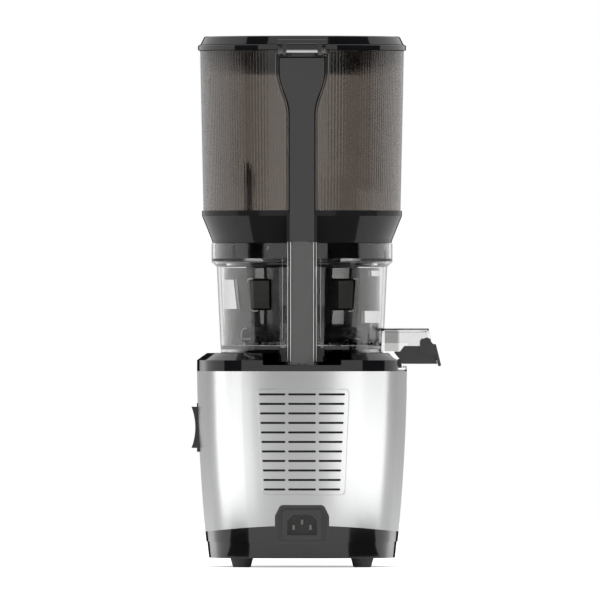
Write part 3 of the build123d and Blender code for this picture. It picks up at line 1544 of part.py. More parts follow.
def hopper_base():
    """The black cone between bowl and hopper: neck, throat, funnel, lip and fin."""
    lip_inner = BASE_LIP_RADIUS - BASE_LIP_WALL
    seat_inner = HOPPER_LOW_RADIUS - HOPPER_WALL - 0.4
    slope = (HOPPER_SEAT - THROAT_TOP) / (seat_inner - THROAT_RADIUS)
    neck_inner = NECK_RADIUS - NECK_WALL
    throat_outer = THROAT_RADIUS + THROAT_WALL
    base = turned(
        (NECK_RADIUS - 2.1, NECK_LOW), (NECK_RADIUS - 2.1, STRAINER_SEAT + 2.6),
        (NECK_RADIUS, STRAINER_SEAT + 5.0), (NECK_RADIUS, BASE_SHOULDER),
        (BASE_SHOULDER_RADIUS, BASE_SHOULDER), (COLLAR_RADIUS, BASE_CONE_LOW),
        (BASE_LIP_RADIUS, BASE_CONE_HIGH), (BASE_LIP_RADIUS, BASE_LIP_TOP),
        (lip_inner, BASE_LIP_TOP), (lip_inner, HOPPER_SEAT), (seat_inner, HOPPER_SEAT),
        (THROAT_RADIUS, THROAT_TOP), (THROAT_RADIUS, NECK_LOW), (throat_outer, NECK_LOW),
        (throat_outer, THROAT_TOP + slope * THROAT_WALL - 3),
        (neck_inner, THROAT_TOP + slope * (neck_inner - THROAT_RADIUS) - 3),
        (neck_inner, NECK_LOW),
    )
    base += spine_rails() + feed_fin()
    half = SPINE_LOW_HALF + SPINE_FIT
    base -= block((-half, half), (-THROUGH, -SPINE_SEAT), (CHANNEL_TOP, THROUGH * 2))
    for slot in bayonet_slots():
        base -= slot
    return base


def spine_rails():
    """Two rails on the cone, one each side of the spine."""
    rails = Part()
    low = CHANNEL_TOP + REST_GAP
    for side in (-1, 1):
        x = sorted((side * (SPINE_LOW_HALF + SPINE_FIT), side * (SPINE_LOW_HALF + RAIL_WIDTH)))
        rails += block(x, (0.6 - SPINE_REAR, -72), (low, BASE_LIP_TOP))
    return rails - disc(BASE_LIP_RADIUS - BASE_LIP_WALL, HOPPER_SEAT, THROUGH * 2)


def feed_fin():
    """The pointed fin that stands on the funnel and keeps long pieces from turning."""
    root = THROAT_TOP + 4
    outline = Polyline(
        (FIN_X - 1.0, root), (FIN_X + 3.4, root), (FIN_X + 5.2, FIN_TOP - 14),
        (FIN_X + 3.0, FIN_TOP - 4), (FIN_X - 0.6, FIN_TOP), (FIN_X - 1.4, FIN_TOP - 12),
        close=True,
    )
    return from_behind(make_face(outline), FIN_Y - 1.5, FIN_Y + 1.5)


def bayonet_slots():
    """L-shaped grooves in the neck: in from below, then round to the lock."""
    half_turn = math.degrees(BAYONET_RADIUS / NECK_RADIUS) + 0.6
    depth = 1.8
    low, high = BAYONET_Z - BAYONET_RADIUS - REST_GAP, BAYONET_Z + BAYONET_RADIUS + REST_GAP
    groove = sector(
        NECK_RADIUS + 1, NECK_RADIUS - depth, low, high, -BAYONET_TURN - half_turn, half_turn
    )
    entry = sector(
        NECK_RADIUS + 1, NECK_RADIUS - depth, NECK_LOW - 1, high,
        -BAYONET_TURN - half_turn, -BAYONET_TURN + half_turn,
    )
    return around(BAYONET_COUNT, groove + entry, BAYONET_ANGLE)


def sector(outer, inner, low, high, start, end):
    """A piece of a ring between two angles."""
    half = (end - start) / 2
    reach = outer * 1.5
    x, y = polar(reach, half)
    wedge = extrude(make_face(Polyline((0, 0), (x, -y), (x, y), close=True)), high - low)
    return Rot(0, 0, start + half) * (ring(outer, inner, low, high) & Pos(0, 0, low) * wedge)


def hopper():
    """The smoked hopper: a tapered wall, a trough for the spine and hinge ears."""
    low, high = HOPPER_SEAT, HOPPER_TOP
    wall = turned(
        (hopper_outer(low), low), (hopper_outer(high), high),
        (hopper_outer(high) - HOPPER_WALL, high), (hopper_outer(low) - HOPPER_WALL, low),
    )
    inside = turned((0, low), (hopper_outer(low), low), (hopper_outer(high), high), (0, high))
    trough = from_behind(
        spine_face(TROUGH_WALL, low, SPINE_TOP + TROUGH_WALL),
        -THROUGH, TROUGH_WALL - SPINE_SEAT,
    )
    form = wall + (trough & inside)
    room = spine_face(SPINE_FIT, low - 1, SPINE_TOP + SPINE_FIT)
    form -= from_behind(room, -THROUGH, -SPINE_SEAT)
    half = upper_rod_half() + ROD_SIDE_GAP
    form -= block((-half, half), (-ROD_REAR - 0.5, -SPINE_SEAT), (SPINE_TOP - 1, high + 1))
    for side in (-1, 1):
        form += hinge_ear(side, HOPPER_EAR, HOPPER_TOP - 0.1, SPINE_TOP + 0.7)
    return form - hinge_bore(HINGE_PIN_RADIUS)


def hinge_bore(radius):
    """A bore along the hinge's axis."""
    return Pos(0, HINGE_Y, HINGE_Z) * Rot(0, 90, 0) * Cylinder(radius, 2 * HOPPER_EAR[1] + 10)


def hinge_ear(side, span, top, low):
    """A hopper knuckle: an ear from the wall, rounded about the pin."""
    x = sorted((side * span[0], side * span[1]))
    ear = block(x, (HINGE_Y, -hopper_outer(top) + HOPPER_WALL + 1.6), (low, top))
    knuckle = Pos(sum(x) / 2, HINGE_Y, HINGE_Z) * Rot(0, 90, 0) * Cylinder(
        KNUCKLE_RADIUS, x[1] - x[0]
    )
    return ear + knuckle


def hopper_spine():
    """The cover strip down the hopper's back, hollow for the upper rod."""
    spine = from_behind(spine_face(), -SPINE_REAR, -SPINE_SEAT)
    wall = SPINE_WALL - 0.4
    low, high = CHANNEL_TOP - 1, SPINE_TOP - SPINE_WALL
    room = spine_face(-wall, low, high)
    spine -= from_behind(room, SPINE_WALL - SPINE_REAR, 0)
    half = SPINE_LOW_HALF - wall
    return spine - block(
        (-half, half), (-ROD_REAR - 0.5, 0), (SPINE_TOP - 2 * SPINE_WALL, SPINE_TOP + 1)
    )


# ---------------------------------------------------------------- lid and hinge


def hinge_pin():
    """The bright pin through the four knuckles."""
    length = 2 * HOPPER_EAR[1]
    return Pos(0, HINGE_Y, HINGE_Z) * Rot(0, 90, 0) * Cylinder(HINGE_PIN_RADIUS, length)


def lid():
    """The gloss lid: stepped rim, bevelled cap, hinge lug, finger tab and lobe."""
    inner_top = LID_TOP - LID_WALL
    inner = LID_BODY_RADIUS - LID_WALL + 0.6
    form = turned(
        (0, LID_TOP), (LID_TOP_RADIUS - 1, LID_TOP), (LID_TOP_RADIUS, LID_TOP - 0.6),
        (LID_BODY_RADIUS, LID_RIM_TOP), (LID_RIM_RADIUS - 0.5, LID_RIM_TOP),
        (LID_RIM_RADIUS, LID_RIM_TOP - 0.5), (LID_RIM_RADIUS, LID_BOTTOM),
        (inner, LID_BOTTOM), (inner, LID_RIM_TOP), (LID_TOP_RADIUS - LID_WALL, inner_top),
        (0, inner_top),
    )
    reach = HOPPER_EAR[1] + 0.5
    form -= block((-reach, reach), (-THROUGH, 0.3 - LID_BODY_RADIUS), (0, LID_RIM_TOP))
    lug_low = LID_RIM_TOP - 0.2
    lug = block((-reach, reach), (HINGE_Y - 3, 4 - LID_BODY_RADIUS), (lug_low, lug_low + 4.2))
    form += fillet(lug.edges().filter_by(Axis.X).group_by(Axis.Y)[0], 1.6)
    for side in (-1, 1):
        form += lid_ear(side)
    form += finger_tab()
    half = LOBE_HALF
    form += block((-half, half), (-LID_BODY_RADIUS + 1.5, -80.2), (lobe_bottom(), LID_RIM_TOP + 2))
    return form - hinge_bore(HINGE_PIN_RADIUS + RUNNING)


def lid_ear(side):
    """A lid knuckle, hanging from the lug to the pin."""
    x = sorted((side * LID_EAR[0], side * LID_EAR[1]))
    ear = block(x, (HINGE_Y - 3, HINGE_Y + 3), (HINGE_Z, LID_RIM_TOP + 1))
    knuckle = Pos(sum(x) / 2, HINGE_Y, HINGE_Z) * Rot(0, 90, 0) * Cylinder(
        KNUCKLE_RADIUS, x[1] - x[0]
    )
    return ear + knuckle


def finger_tab():
    """A shallow tab at the front of the rim, to lift the lid by."""
    tab = disc(LID_RIM_RADIUS + TAB_REACH, LID_BOTTOM, LID_BOTTOM + 2.4)
    tab -= disc(LID_RIM_RADIUS - 1, LID_BOTTOM, LID_BOTTOM + 2.4)
    return tab & block((-TAB_HALF, TAB_HALF), (0, THROUGH), (0, THROUGH * 3))


def lid_dish():
    """The inner dish under the lid, bellied down into the hopper."""
    flange = LID_BODY_RADIUS - LID_WALL + 0.6
    top, low = LID_BOTTOM, DISH_BOTTOM
    bend = (DISH_RADIUS - 5.5, between(top, low, 0.42))
    rise = DISH_WALL
    edge = [
        Line((0, low), (DISH_FLAT_RADIUS, low)),
        ThreePointArc((DISH_FLAT_RADIUS, low), bend, (DISH_RADIUS, top)),
        Polyline(
            (DISH_RADIUS, top), (flange, top), (flange, top + rise), (DISH_RADIUS - rise, top + rise)
        ),
        ThreePointArc(
            (DISH_RADIUS - rise, top + rise), (bend[0] - rise, bend[1] + rise),
            (DISH_FLAT_RADIUS, low + rise),
        ),
        Polyline((DISH_FLAT_RADIUS, low + rise), (0, low + rise), (0, low)),
    ]
    dish = revolve(Plane.XZ * make_face(edge), Axis.Z)
    half = LOBE_HALF + REST_GAP
    return dish - block((-half, half), (-THROUGH, -79.8), (0, THROUGH * 3))


# ---------------------------------------------------------------- gearbox


def stage_axes():
    """The first and second gears' axes, so that the output turns about the Z axis."""
    first, middle, last = STAGE_REACH
    cosine = (first**2 + last**2 - middle**2) / (2 * first * last)
    turn = math.degrees(math.acos(cosine))
    return polar(first, 90 - turn), polar(last, 90)


def bearing_to(start, end):
    """The direction from one axis to another, in degrees."""
    return math.degrees(math.atan2(end[1] - start[1], end[0] - start[0]))


def gearbox_centre():
    """The gearbox's middle, between the output gear and the second gear."""
    wheel = STAGE_MODULES[1] * WHEEL_TEETH / 2
    output = STAGE_MODULES[2] * WHEEL_TEETH / 2
    return 0.0, (STAGE_REACH[2] + wheel - output) / 2


def box_radius():
    """The gearbox's inner radius, clear of every gear."""
    wheel = STAGE_MODULES[1] * (WHEEL_TEETH / 2 + 1)
    return STAGE_REACH[2] + wheel - gearbox_centre()[1] + 1.2


def screw_places():
    """The gearbox cover's screws, in plan."""
    x, y = gearbox_centre()
    radius = box_radius() + BOX_WALL
    offsets = [polar(radius, 360 * n / BOX_SCREWS) for n in range(BOX_SCREWS)]
    return [(x + dx, y + dy) for dx, dy in offsets]


def gearbox_housing():
    """The gearbox's cup, with screw ears, axle seats and the motor's hole."""
    centre, radius = gearbox_centre(), box_radius()
    cup = disc(radius + BOX_WALL, BOX_BOTTOM, BOX_TOP, centre)
    for place in screw_places():
        cup += disc(POST_RADIUS, BOX_BOTTOM, BOX_TOP, place)
    cup -= disc(radius, BOX_BOTTOM + BOX_FLOOR, BOX_TOP + 1, centre)
    for place in stage_axes():
        cup += disc(AXLE_RADIUS + 2, BOX_BOTTOM, BOX_BOTTOM + BOX_FLOOR + 2, place)
        cup -= disc(AXLE_RADIUS, BOX_BOTTOM + 1, BOX_TOP, place)
    for place in screw_places():
        cup -= disc(SCREW_RADIUS, BOX_TOP - 12, BOX_TOP + 1, place)
    for angle in (45, 135, 225, 315):
        cup -= disc(BOLT_RADIUS, 0, BOX_BOTTOM + BOX_FLOOR + 1, polar(BOLT_CIRCLE, angle))
    return cup - disc(MOTOR_BEARING_RADIUS - 1, 0, THROUGH)


def gearbox_cover():
    """The gearbox's lid, with the output bearings' tall boss."""
    centre, radius = gearbox_centre(), box_radius()
    low, high = BOX_TOP, BOX_TOP + BOX_COVER
    plate = disc(radius + BOX_WALL, low, high, centre)
    for place in screw_places():
        plate += disc(POST_RADIUS, low, high, place)
    for place in boss_places():
        plate += disc(POST_RADIUS, low, high, place)
    boss_top = low + 2 * BEARING_THICK + 1.5
    plate += disc(BEARING_RADIUS + 2.5, low, boss_top)
    plate -= disc(BEARING_RADIUS, low - 1, low + BEARING_THICK)
    plate -= disc(BEARING_RADIUS, boss_top - BEARING_THICK, boss_top + 1)
    plate -= disc(SHAFT_RADIUS + 2, low, boss_top)
    second = stage_axes()[1]
    plate -= disc(AXLE_RADIUS, low - 1, low + BOX_COVER - 1, second)
    for place in screw_places() + boss_places():
        plate -= disc(SCREW_RADIUS, low - 1, high + 1, place)
    return plate


def gear_axles():
    """The two fixed steel axles on which the first and second gears turn."""
    low = BOX_BOTTOM + 1
    first, second = stage_axes()
    return [
        disc(AXLE_RADIUS, low, FIRST_PINION_TOP + 0.2, first),
        disc(AXLE_RADIUS, low, BOX_TOP + BOX_COVER - 1, second),
    ]


def motor_pinion():
    """The pinion on the motor's shaft, with a tooth towards the first gear."""
    facing = bearing_to((0, 0), stage_axes()[0])
    low, high = FIRST_WHEEL
    form = gear(STAGE_MODULES[0], PINION_TEETH, low - 0.5, high + 0.5, (0, 0), facing)
    return form - disc(MOTOR_SHAFT_RADIUS, 0, THROUGH)


def compound(at, wheel, pinion, wheel_span, pinion_top, from_axis, to_axis):
    """A wheel and a pinion in one, on a bored hub, in mesh with both neighbours."""
    half_step = 180 / WHEEL_TEETH
    wheel_facing = bearing_to(at, from_axis) + half_step
    form = gear(wheel, WHEEL_TEETH, *wheel_span, at, wheel_facing)
    form += gear(
        pinion, PINION_TEETH, wheel_span[1] - 1, pinion_top, at, bearing_to(at, to_axis)
    )
    return form - disc(AXLE_RADIUS + RUNNING, 0, THROUGH, at)


def first_gear():
    """The first compound gear."""
    first, second = stage_axes()
    return compound(
        first, STAGE_MODULES[0], STAGE_MODULES[1], FIRST_WHEEL, FIRST_PINION_TOP,
        (0, 0), second,
    )


def second_gear():
    """The second compound gear."""
    first, second = stage_axes()
    return compound(
        second, STAGE_MODULES[1], STAGE_MODULES[2], SECOND_WHEEL, SECOND_PINION_TOP,
        first, (0, 0),
    )


def output_gear():
    """The output gear on the drive shaft, webbed to save weight."""
    low, high = OUTPUT_WHEEL
    facing = bearing_to((0, 0), stage_axes()[1]) + 180 / WHEEL_TEETH
    form = gear(STAGE_MODULES[2], WHEEL_TEETH, low, high, (0, 0), facing)
    rim = STAGE_MODULES[2] * WHEEL_TEETH / 2 - 6
    for side in ((low, low + 4), (high - 4, high)):
        form -= ring(rim, SHAFT_RADIUS + 5, *side)
    return form - disc(SHAFT_RADIUS, 0, THROUGH)


def drive_shaft():
    """The steel shaft from the output gear up into the auger, six-sided above."""
    shaft = disc(SHAFT_RADIUS, SHAFT_LOW, SHAFT_SHOULDER)
    hexagon = RegularPolygon(HEX_ACROSS / 2, 6, major_radius=False)
    shaft += Pos(0, 0, SHAFT_SHOULDER - 1) * extrude(hexagon, HEX_TOP - SHAFT_SHOULDER + 1)
    return shaft


def bearing(radius, bore, low, high):
    """A shielded ball bearing as one ring, with a groove in each face."""
    groove = between(bore, radius, 0.3), between(bore, radius, 0.7)
    form = ring(radius, bore, low, high)
    form -= ring(groove[1], groove[0], low, low + 0.6)
    return form - ring(groove[1], groove[0], high - 0.6, high)


def shaft_bearings():
    """The two output bearings in the gearbox cover's boss."""
    bore = SHAFT_RADIUS + RUNNING
    top = BOX_TOP + 2 * BEARING_THICK + 1.5
    return [
        bearing(BEARING_RADIUS, bore, BOX_TOP, BOX_TOP + BEARING_THICK),
        bearing(BEARING_RADIUS, bore, top - BEARING_THICK, top),
    ]


def shaft_seal():
    """The lip seal round the shaft in the top cover."""
    near = SHAFT_RADIUS + RUNNING
    low = RECESS_FLOOR - COVER_WALL
    return turned(
        (near, low + 0.8), (near + 1, low), (DRIVE_SEAL_RADIUS, low),
        (DRIVE_SEAL_RADIUS, RECESS_FLOOR), (near + 1.4, RECESS_FLOOR + 1),
        (near, RECESS_FLOOR + 0.4),
    )


# ---------------------------------------------------------------- motor


def bolt_holes(radius):
    """Bolt holes through the motor, on their circle."""
    hole = Pos(BOLT_CIRCLE, 0, 0) * Cylinder(radius, 2 * THROUGH)
    return Part() + around(4, hole, 45)


def stator_core():
    """The stator's laminated core, with twelve winding slots."""
    core = ring(CORE_RADIUS, CORE_BORE, CORE_LOW, CORE_HIGH)
    inner, outer = COIL_RADII
    slot = block((inner, outer - 2), (-2.6, 2.6), (CORE_LOW - 1, CORE_HIGH + 1))
    mouth = block((CORE_BORE - 1, inner + 1), (-0.9, 0.9), (CORE_LOW - 1, CORE_HIGH + 1))
    return core - around(12, slot + mouth) - bolt_holes(BOLT_RADIUS)


def stator_windings():
    """The copper coil heads above and below the core."""
    inner, outer = COIL_RADII
    heads = []
    for low, high in (
        (CORE_LOW - COIL_HEIGHT, CORE_LOW), (CORE_HIGH, CORE_HIGH + COIL_HEIGHT),
    ):
        head = ring(outer, inner, low, high)
        heads.append(fillet(head.edges().filter_by(GeomType.CIRCLE), 2.5))
    return heads


def shield(low, high, face_low, face_high):
    """A motor end shield: a rim on the core, spokes and a bearing seat."""
    form = ring(CORE_RADIUS, CORE_RADIUS - SHIELD_WALL, low, high)
    plate = disc(CORE_RADIUS, face_low, face_high)
    window = block((16, 34), (-7, 7), (face_low - 1, face_high + 1))
    form += plate - around(4, window)
    for place in (polar(BOLT_CIRCLE, a) for a in (45, 135, 225, 315)):
        form += disc(SCREW_HEAD_RADIUS, low, high, place) & disc(CORE_RADIUS, low, high)
    return form - bolt_holes(BOLT_RADIUS)


def motor_top_shield():
    """The upper end shield, against the gearbox floor."""
    high = BOX_BOTTOM
    form = shield(CORE_HIGH, high, high - SHIELD_WALL, high)
    low = high - MOTOR_BEARING_THICK - 1
    form += disc(MOTOR_BEARING_RADIUS + 2.5, low, high)
    return form - disc(MOTOR_BEARING_RADIUS, low - 1, high)


def motor_bottom_shield():
    """The lower end shield, above the fan."""
    low = SHIELD_LOW
    form = shield(low, CORE_LOW, low, low + SHIELD_WALL)
    high = low + MOTOR_BEARING_THICK + 1
    form += disc(MOTOR_BEARING_RADIUS + 2.5, low, high)
    form -= disc(MOTOR_BEARING_RADIUS, low + 1, high + 1)
    return form - disc(MOTOR_SHAFT_RADIUS + 1, 0, high)


def motor_bearings():
    """The rotor's two ball bearings."""
    bore = MOTOR_SHAFT_RADIUS + RUNNING
    thick, radius = MOTOR_BEARING_THICK, MOTOR_BEARING_RADIUS
    return [
        bearing(radius, bore, SHIELD_LOW + 1, SHIELD_LOW + 1 + thick),
        bearing(radius, bore, BOX_BOTTOM - thick, BOX_BOTTOM),
    ]


def rotor():
    """The squirrel-cage rotor pressed on its shaft."""
    form = disc(ROTOR_RADIUS, CORE_LOW, CORE_HIGH)
    for low, high in ((CORE_LOW - 4, CORE_LOW), (CORE_HIGH, CORE_HIGH + 4)):
        form += ring(ROTOR_RADIUS - 1, 12, low, high)
    return form + disc(MOTOR_SHAFT_RADIUS, MOTOR_SHAFT_LOW, FIRST_WHEEL[1] + 1)


def motor_bolts():
    """The four through bolts that clamp the motor to the gearbox."""
    bolts = []
    for angle in (45, 135, 225, 315):
        place = polar(BOLT_CIRCLE, angle)
        bolt = disc(BOLT_RADIUS, SHIELD_LOW - 1, BOX_BOTTOM + BOX_FLOOR, place)
        bolts.append(bolt + disc(SCREW_HEAD_RADIUS, SHIELD_LOW - 3, SHIELD_LOW, place))
    return bolts


def cooling_fan():
    """The fan under the motor, with raked blades."""
    fan = disc(FAN_HUB_RADIUS, FAN_LOW, FAN_HIGH)
    fan += ring(FAN_RADIUS, FAN_HUB_RADIUS - 1, FAN_HIGH - 1.4, FAN_HIGH)
    blade = block((FAN_HUB_RADIUS - 1, FAN_RADIUS), (-0.8, 0.8), (FAN_LOW, FAN_HIGH))
    fan += around(FAN_BLADES, Pos(0, 2.5, 0) * blade)
    return fan - disc(MOTOR_SHAFT_RADIUS, 0, THROUGH)


# ---------------------------------------------------------------- electrics


def circuit_board():
    """The control board, upright beside the motor: capacitor, relay and terminal strip."""
    half, x, low = BOARD_HALF_Y, BOARD_X, BOARD_LOW
    board = block((x, x + BOARD_THICK), (-half, half), (low, BOARD_HIGH))
    centre = x - CAPACITOR_RADIUS - 1
    can = Rot(90, 0, 0) * Cylinder(CAPACITOR_RADIUS, CAPACITOR_LENGTH)
    board += Pos(centre, 0, low + CAPACITOR_RISE) * can
    board += block((centre, x), (-12, 12), (low + CAPACITOR_RISE - 2, low + CAPACITOR_RISE + 2))
    foot = low + COMPONENT_RISE
    board += block((x - 12, x), (-22, -6), (foot, foot + 12))
    board += block((x - TERMINAL_DEPTH, x), (2, 24), (foot, foot + 8))
    for n in range(4):
        y = 4 + TERMINAL_PITCH * n
        board -= block((x - TERMINAL_DEPTH - 1, x - 5), (y, y + 3), (foot + 2, foot + 6))
    return board


# ---------------------------------------------------------------- writing the parts

PARTS = {
    "body_shell": body_shell,
    "vent_louvre": vent_louvre,
    "top_cover": top_cover,
    "base_tray": base_tray,
    "rubber_feet": rubber_feet,
    "case_screws": case_screws,
    "inlet_bezel": inlet_bezel,
    "inlet_socket": inlet_socket,
    "inlet_pins": pin_shapes,
    "switch_bezel": switch_bezel,
    "switch_rocker": switch_rocker,
    "gearbox_housing": gearbox_housing,
    "gearbox_cover": gearbox_cover,
    "gear_axles": gear_axles,
    "motor_pinion": motor_pinion,
    "first_gear": first_gear,
    "second_gear": second_gear,
    "output_gear": output_gear,
    "drive_shaft": drive_shaft,
    "shaft_bearings": shaft_bearings,
    "shaft_seal": shaft_seal,
    "stator_core": stator_core,
    "stator_windings": stator_windings,
    "motor_top_shield": motor_top_shield,
    "motor_bottom_shield": motor_bottom_shield,
    "motor_bearings": motor_bearings,
    "motor_bolts": motor_bolts,
    "rotor": rotor,
    "cooling_fan": cooling_fan,
    "circuit_board": circuit_board,
    "microswitch": microswitch,
    "interlock_plunger": interlock_plunger,
    "plunger_spring": plunger_spring,
    "bowl": bowl,
    "bowl_foot": bowl_foot,
    "juice_duct": juice_duct,
    "bowl_seal": bowl_seal,
    "idler_pin": idler_pin,
    "idler_gear": idler_gear,
    "strainer_frame": strainer_frame,
    "strainer_mesh": strainer_mesh,
    "wiper_frame": wiper_frame,
    "wiper_ring": wiper_ring,
    "wiper_blades": wiper_blades,
    "auger": auger,
    "auger_socket": auger_socket,
    "auger_blade": blade_form,
    "juice_nozzle": juice_nozzle,
    "juice_cap": juice_cap,
    "cap_seal": cap_seal,
    "pulp_chute": pulp_chute,
    "pulp_plug": pulp_plug,
    "lower_rod": lower_rod,
    "upper_rod": upper_rod,
    "hopper_base": hopper_base,
    "hopper": hopper,
    "hopper_spine": hopper_spine,
    "hinge_pin": hinge_pin,
    "lid": lid,
    "lid_dish": lid_dish,
}

os.makedirs("parts", exist_ok=True)
for name, make in PARTS.items():
    made = make()
    pieces = made if isinstance(made, list) else [made]
    solids = [solid for piece in pieces for solid in piece.solids()]
    export_step(Compound(children=solids), f"parts/{name}.step")
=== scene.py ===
import json
import math

import bmesh
import bpy
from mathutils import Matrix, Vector
from mathutils.bvhtree import BVHTree


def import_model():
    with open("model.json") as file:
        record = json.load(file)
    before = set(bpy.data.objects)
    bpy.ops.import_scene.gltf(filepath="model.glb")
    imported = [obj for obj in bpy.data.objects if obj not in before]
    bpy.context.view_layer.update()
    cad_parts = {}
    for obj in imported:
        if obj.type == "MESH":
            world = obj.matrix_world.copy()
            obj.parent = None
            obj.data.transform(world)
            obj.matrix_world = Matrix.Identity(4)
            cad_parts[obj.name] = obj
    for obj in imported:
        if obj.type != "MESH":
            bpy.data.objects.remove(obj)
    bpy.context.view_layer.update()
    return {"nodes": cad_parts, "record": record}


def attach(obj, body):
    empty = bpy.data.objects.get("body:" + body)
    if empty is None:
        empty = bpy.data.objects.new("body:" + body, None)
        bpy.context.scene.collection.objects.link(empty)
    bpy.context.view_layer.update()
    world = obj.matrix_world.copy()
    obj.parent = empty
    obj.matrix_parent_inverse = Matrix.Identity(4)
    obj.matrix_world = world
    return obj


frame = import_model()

# A cold press juicer, seen from behind. Metres, in the CAD frame: the auger's axis is Z, the
# rear faces -Y and the spout points along +X.

scene = bpy.context.scene
nodes = frame["nodes"]

# ---- the photograph's framing, taken as 600 x 600 ----
PIXEL = 0.8333e-3
AXIS_COLUMN = 302.0
FLOOR_ROW = 566.5
MIDDLE = 300.0
CAMERA_AWAY = 20.0
SENSOR = 36.0  # millimetres

# ---- the studio ----
ROOM_LIGHT = 0.7  # what lights matt surfaces
ROOM_IN_GLOSS = 0.62  # what gloss and metal reflect
FLOOR_RADIUS = 4.0
FLOOR_LIFT = 0.42  # brings the lit floor up to the white backdrop
FLAG_AWAY = 1.2
FLAG_STEPS = 12  # faces along each side of a flag
FLAG_FLOOR = 0.001  # flags that lie down keep this far off the floor
DOME_FOOT = 0.5  # the height above which the flags lean in over the object
DOME_LEAN = 1.3  # radians, at most
SHELF = 0.2  # level with the top of the base, below the hopper's cone
SOFTBOX_TARGET = (0, 0, 0.25)
METAL_LAMP_AWAY = 0.3
METAL_LAMP_HEIGHT = 0.18

# ---- the materials' common grain ----
GRAIN_DETAIL = 3.0
ROUGH_SHARE = 0.06  # how much the grain changes the roughness
RIB_PAINTED_SHADE = 0.12
COAT_ROUGHNESS = 0.04
SPECULAR = 0.5
FINE_GRAIN = 8  # times as fine as the colour's grain
FINE_RELIEF = 0.0004
PAINTED_RIM_SHADE = (0.02, 0.02, 0.02)
PAINTED_GLARE_WHITE = (0.97, 0.965, 0.96)
HOLE_DARK = (0.06, 0.06, 0.06)
HOLE_SPAN = (0.25, 0.5)  # where a hole's wave starts and is fully dark

# ---- the object's own forms, which the fine pieces follow ----
HOPPER_WALL = ((0.293, 0.0821), (0.4297, 0.085))  # (height, radius) at two places of a cone
BOWL_WALL = ((0.171, 0.0672), (0.2496, 0.071))
HOPPER_FOOT = 0.2945
SPINE_HALF = (0.0102, 0.0185)  # half width below and above the flare
SPINE_FLARE = (0.376, 0.412)
SPINE_FACE = -0.0854
GAP_SHADOW_TOP = 0.4232
GROOVE_TOP = 0.4265
TICK_PLACES = (("left", -0.0785), ("right", 0.0769))
TICK_SPAN = (0.4021, 0.4075)
TICK_LEAN = 0.0026
SEAM_AZIMUTH = 168  # the lid's seam lines stop this far round from the rear
CHANNEL_FACE = -0.08595
CHANNEL_SPAN = (0.171, 0.2702)
FILLET_SPAN = (0.1878, 0.2612)
HOLDER_RADIUS = 0.0657  # the gap between the wiper and the bowl
GLINT_RADIUS = 0.06525
HOLDER_ROWS = (280.0, 309.2)
PANEL_ROWS = (280.4, 308.8)
PANEL_THICK = 0.0003
VENT_CORNERS = ((-0.0367, 0.1479), (0.0392, 0.1479), (0.0355, 0.0606), (-0.0321, 0.0606))
VENT_ROUND = 0.05  # the share of each side that a rounded corner takes

BEAD_SIDES = 8


def between(low, high, share):
    """The number a share of the way from low to high."""
    return low + (high - low) * share


# ---------------------------------------------------------------- material helpers


def computed(tree, operation, first, second=None):
    """The outcome of a sum on a socket and, if there is one, a second socket or number."""
    step = tree.nodes.new("ShaderNodeMath")
    step.operation = operation
    tree.links.new(first, step.inputs[0])
    if isinstance(second, (int, float)):
        step.inputs[1].default_value = second
    elif second is not None:
        tree.links.new(second, step.inputs[1])
    return step.outputs["Value"]


def mixed(tree, share, first, second):
    """A colour on the way from the first to the second, each of them a colour or a socket."""
    mix = tree.nodes.new("ShaderNodeMix")
    mix.data_type = "RGBA"
    for name, colour in (("A", first), ("B", second)):
        if isinstance(colour, tuple):
            mix.inputs[name].default_value = (*colour, 1)
        else:
            tree.links.new(colour, mix.inputs[name])
    tree.links.new(share, mix.inputs["Factor"])
    return mix.outputs["Result"]


def spread(tree, value, low, high, source=(0.3, 0.7)):
    """A value, as a rule of a noise, mapped between two numbers."""
    span = tree.nodes.new("ShaderNodeMapRange")
    for name, number in (
        ("From Min", source[0]), ("From Max", source[1]), ("To Min", low), ("To Max", high),
    ):
        span.inputs[name].default_value = number
    tree.links.new(value, span.inputs["Value"])
    return span.outputs["Result"]


def coordinates(tree):
    """The object's own X, Y and Z."""
    place = tree.nodes.new("ShaderNodeTexCoord")
    split = tree.nodes.new("ShaderNodeSeparateXYZ")
    tree.links.new(place.outputs["Object"], split.inputs["Vector"])
    return split.outputs


def noise(tree, scale, stretch):
    """A noise value over the object's own coordinates."""
    place = tree.nodes.new("ShaderNodeTexCoord")
    mapping = tree.nodes.new("ShaderNodeMapping")
    mapping.inputs["Scale"].default_value = stretch
    texture = tree.nodes.new("ShaderNodeTexNoise")
    texture.inputs["Scale"].default_value = scale
    texture.inputs["Detail"].default_value = GRAIN_DETAIL
    tree.links.new(place.outputs["Object"], mapping.inputs["Vector"])
    tree.links.new(mapping.outputs["Vector"], texture.inputs["Vector"])
    return texture.outputs["Fac"]


def relief(tree, shader, height, distance, strength=1.0):
    """Gives the shader a bump from a height."""
    bump = tree.nodes.new("ShaderNodeBump")
    bump.inputs["Strength"].default_value = strength
    bump.inputs["Distance"].default_value = distance
    tree.links.new(height, bump.inputs["Height"])
    tree.links.new(bump.outputs["Normal"], shader.inputs["Normal"])


def tinted(tree, value, colour, share):
    """A colour that a value darkens and lightens by a share."""
    dark = tuple(c * (1 - share) for c in colour)
    light = tuple(min(1.0, c * (1 + share)) for c in colour)
    return mixed(tree, value, dark, light)


def at_edge(tree, inside, outside, span):
    """A number that changes where a surface turns away, between two shares of facing."""
    facing = tree.nodes.new("ShaderNodeLayerWeight")
    facing.inputs["Blend"].default_value = 0.5
    return spread(tree, facing.outputs["Facing"], inside, outside, span)


def rimmed(tree, colour, other, span):
    """A colour that turns into another where the wall is seen nearly edge on."""
    return mixed(tree, at_edge(tree, 0.0, 1.0, span), colour, other)


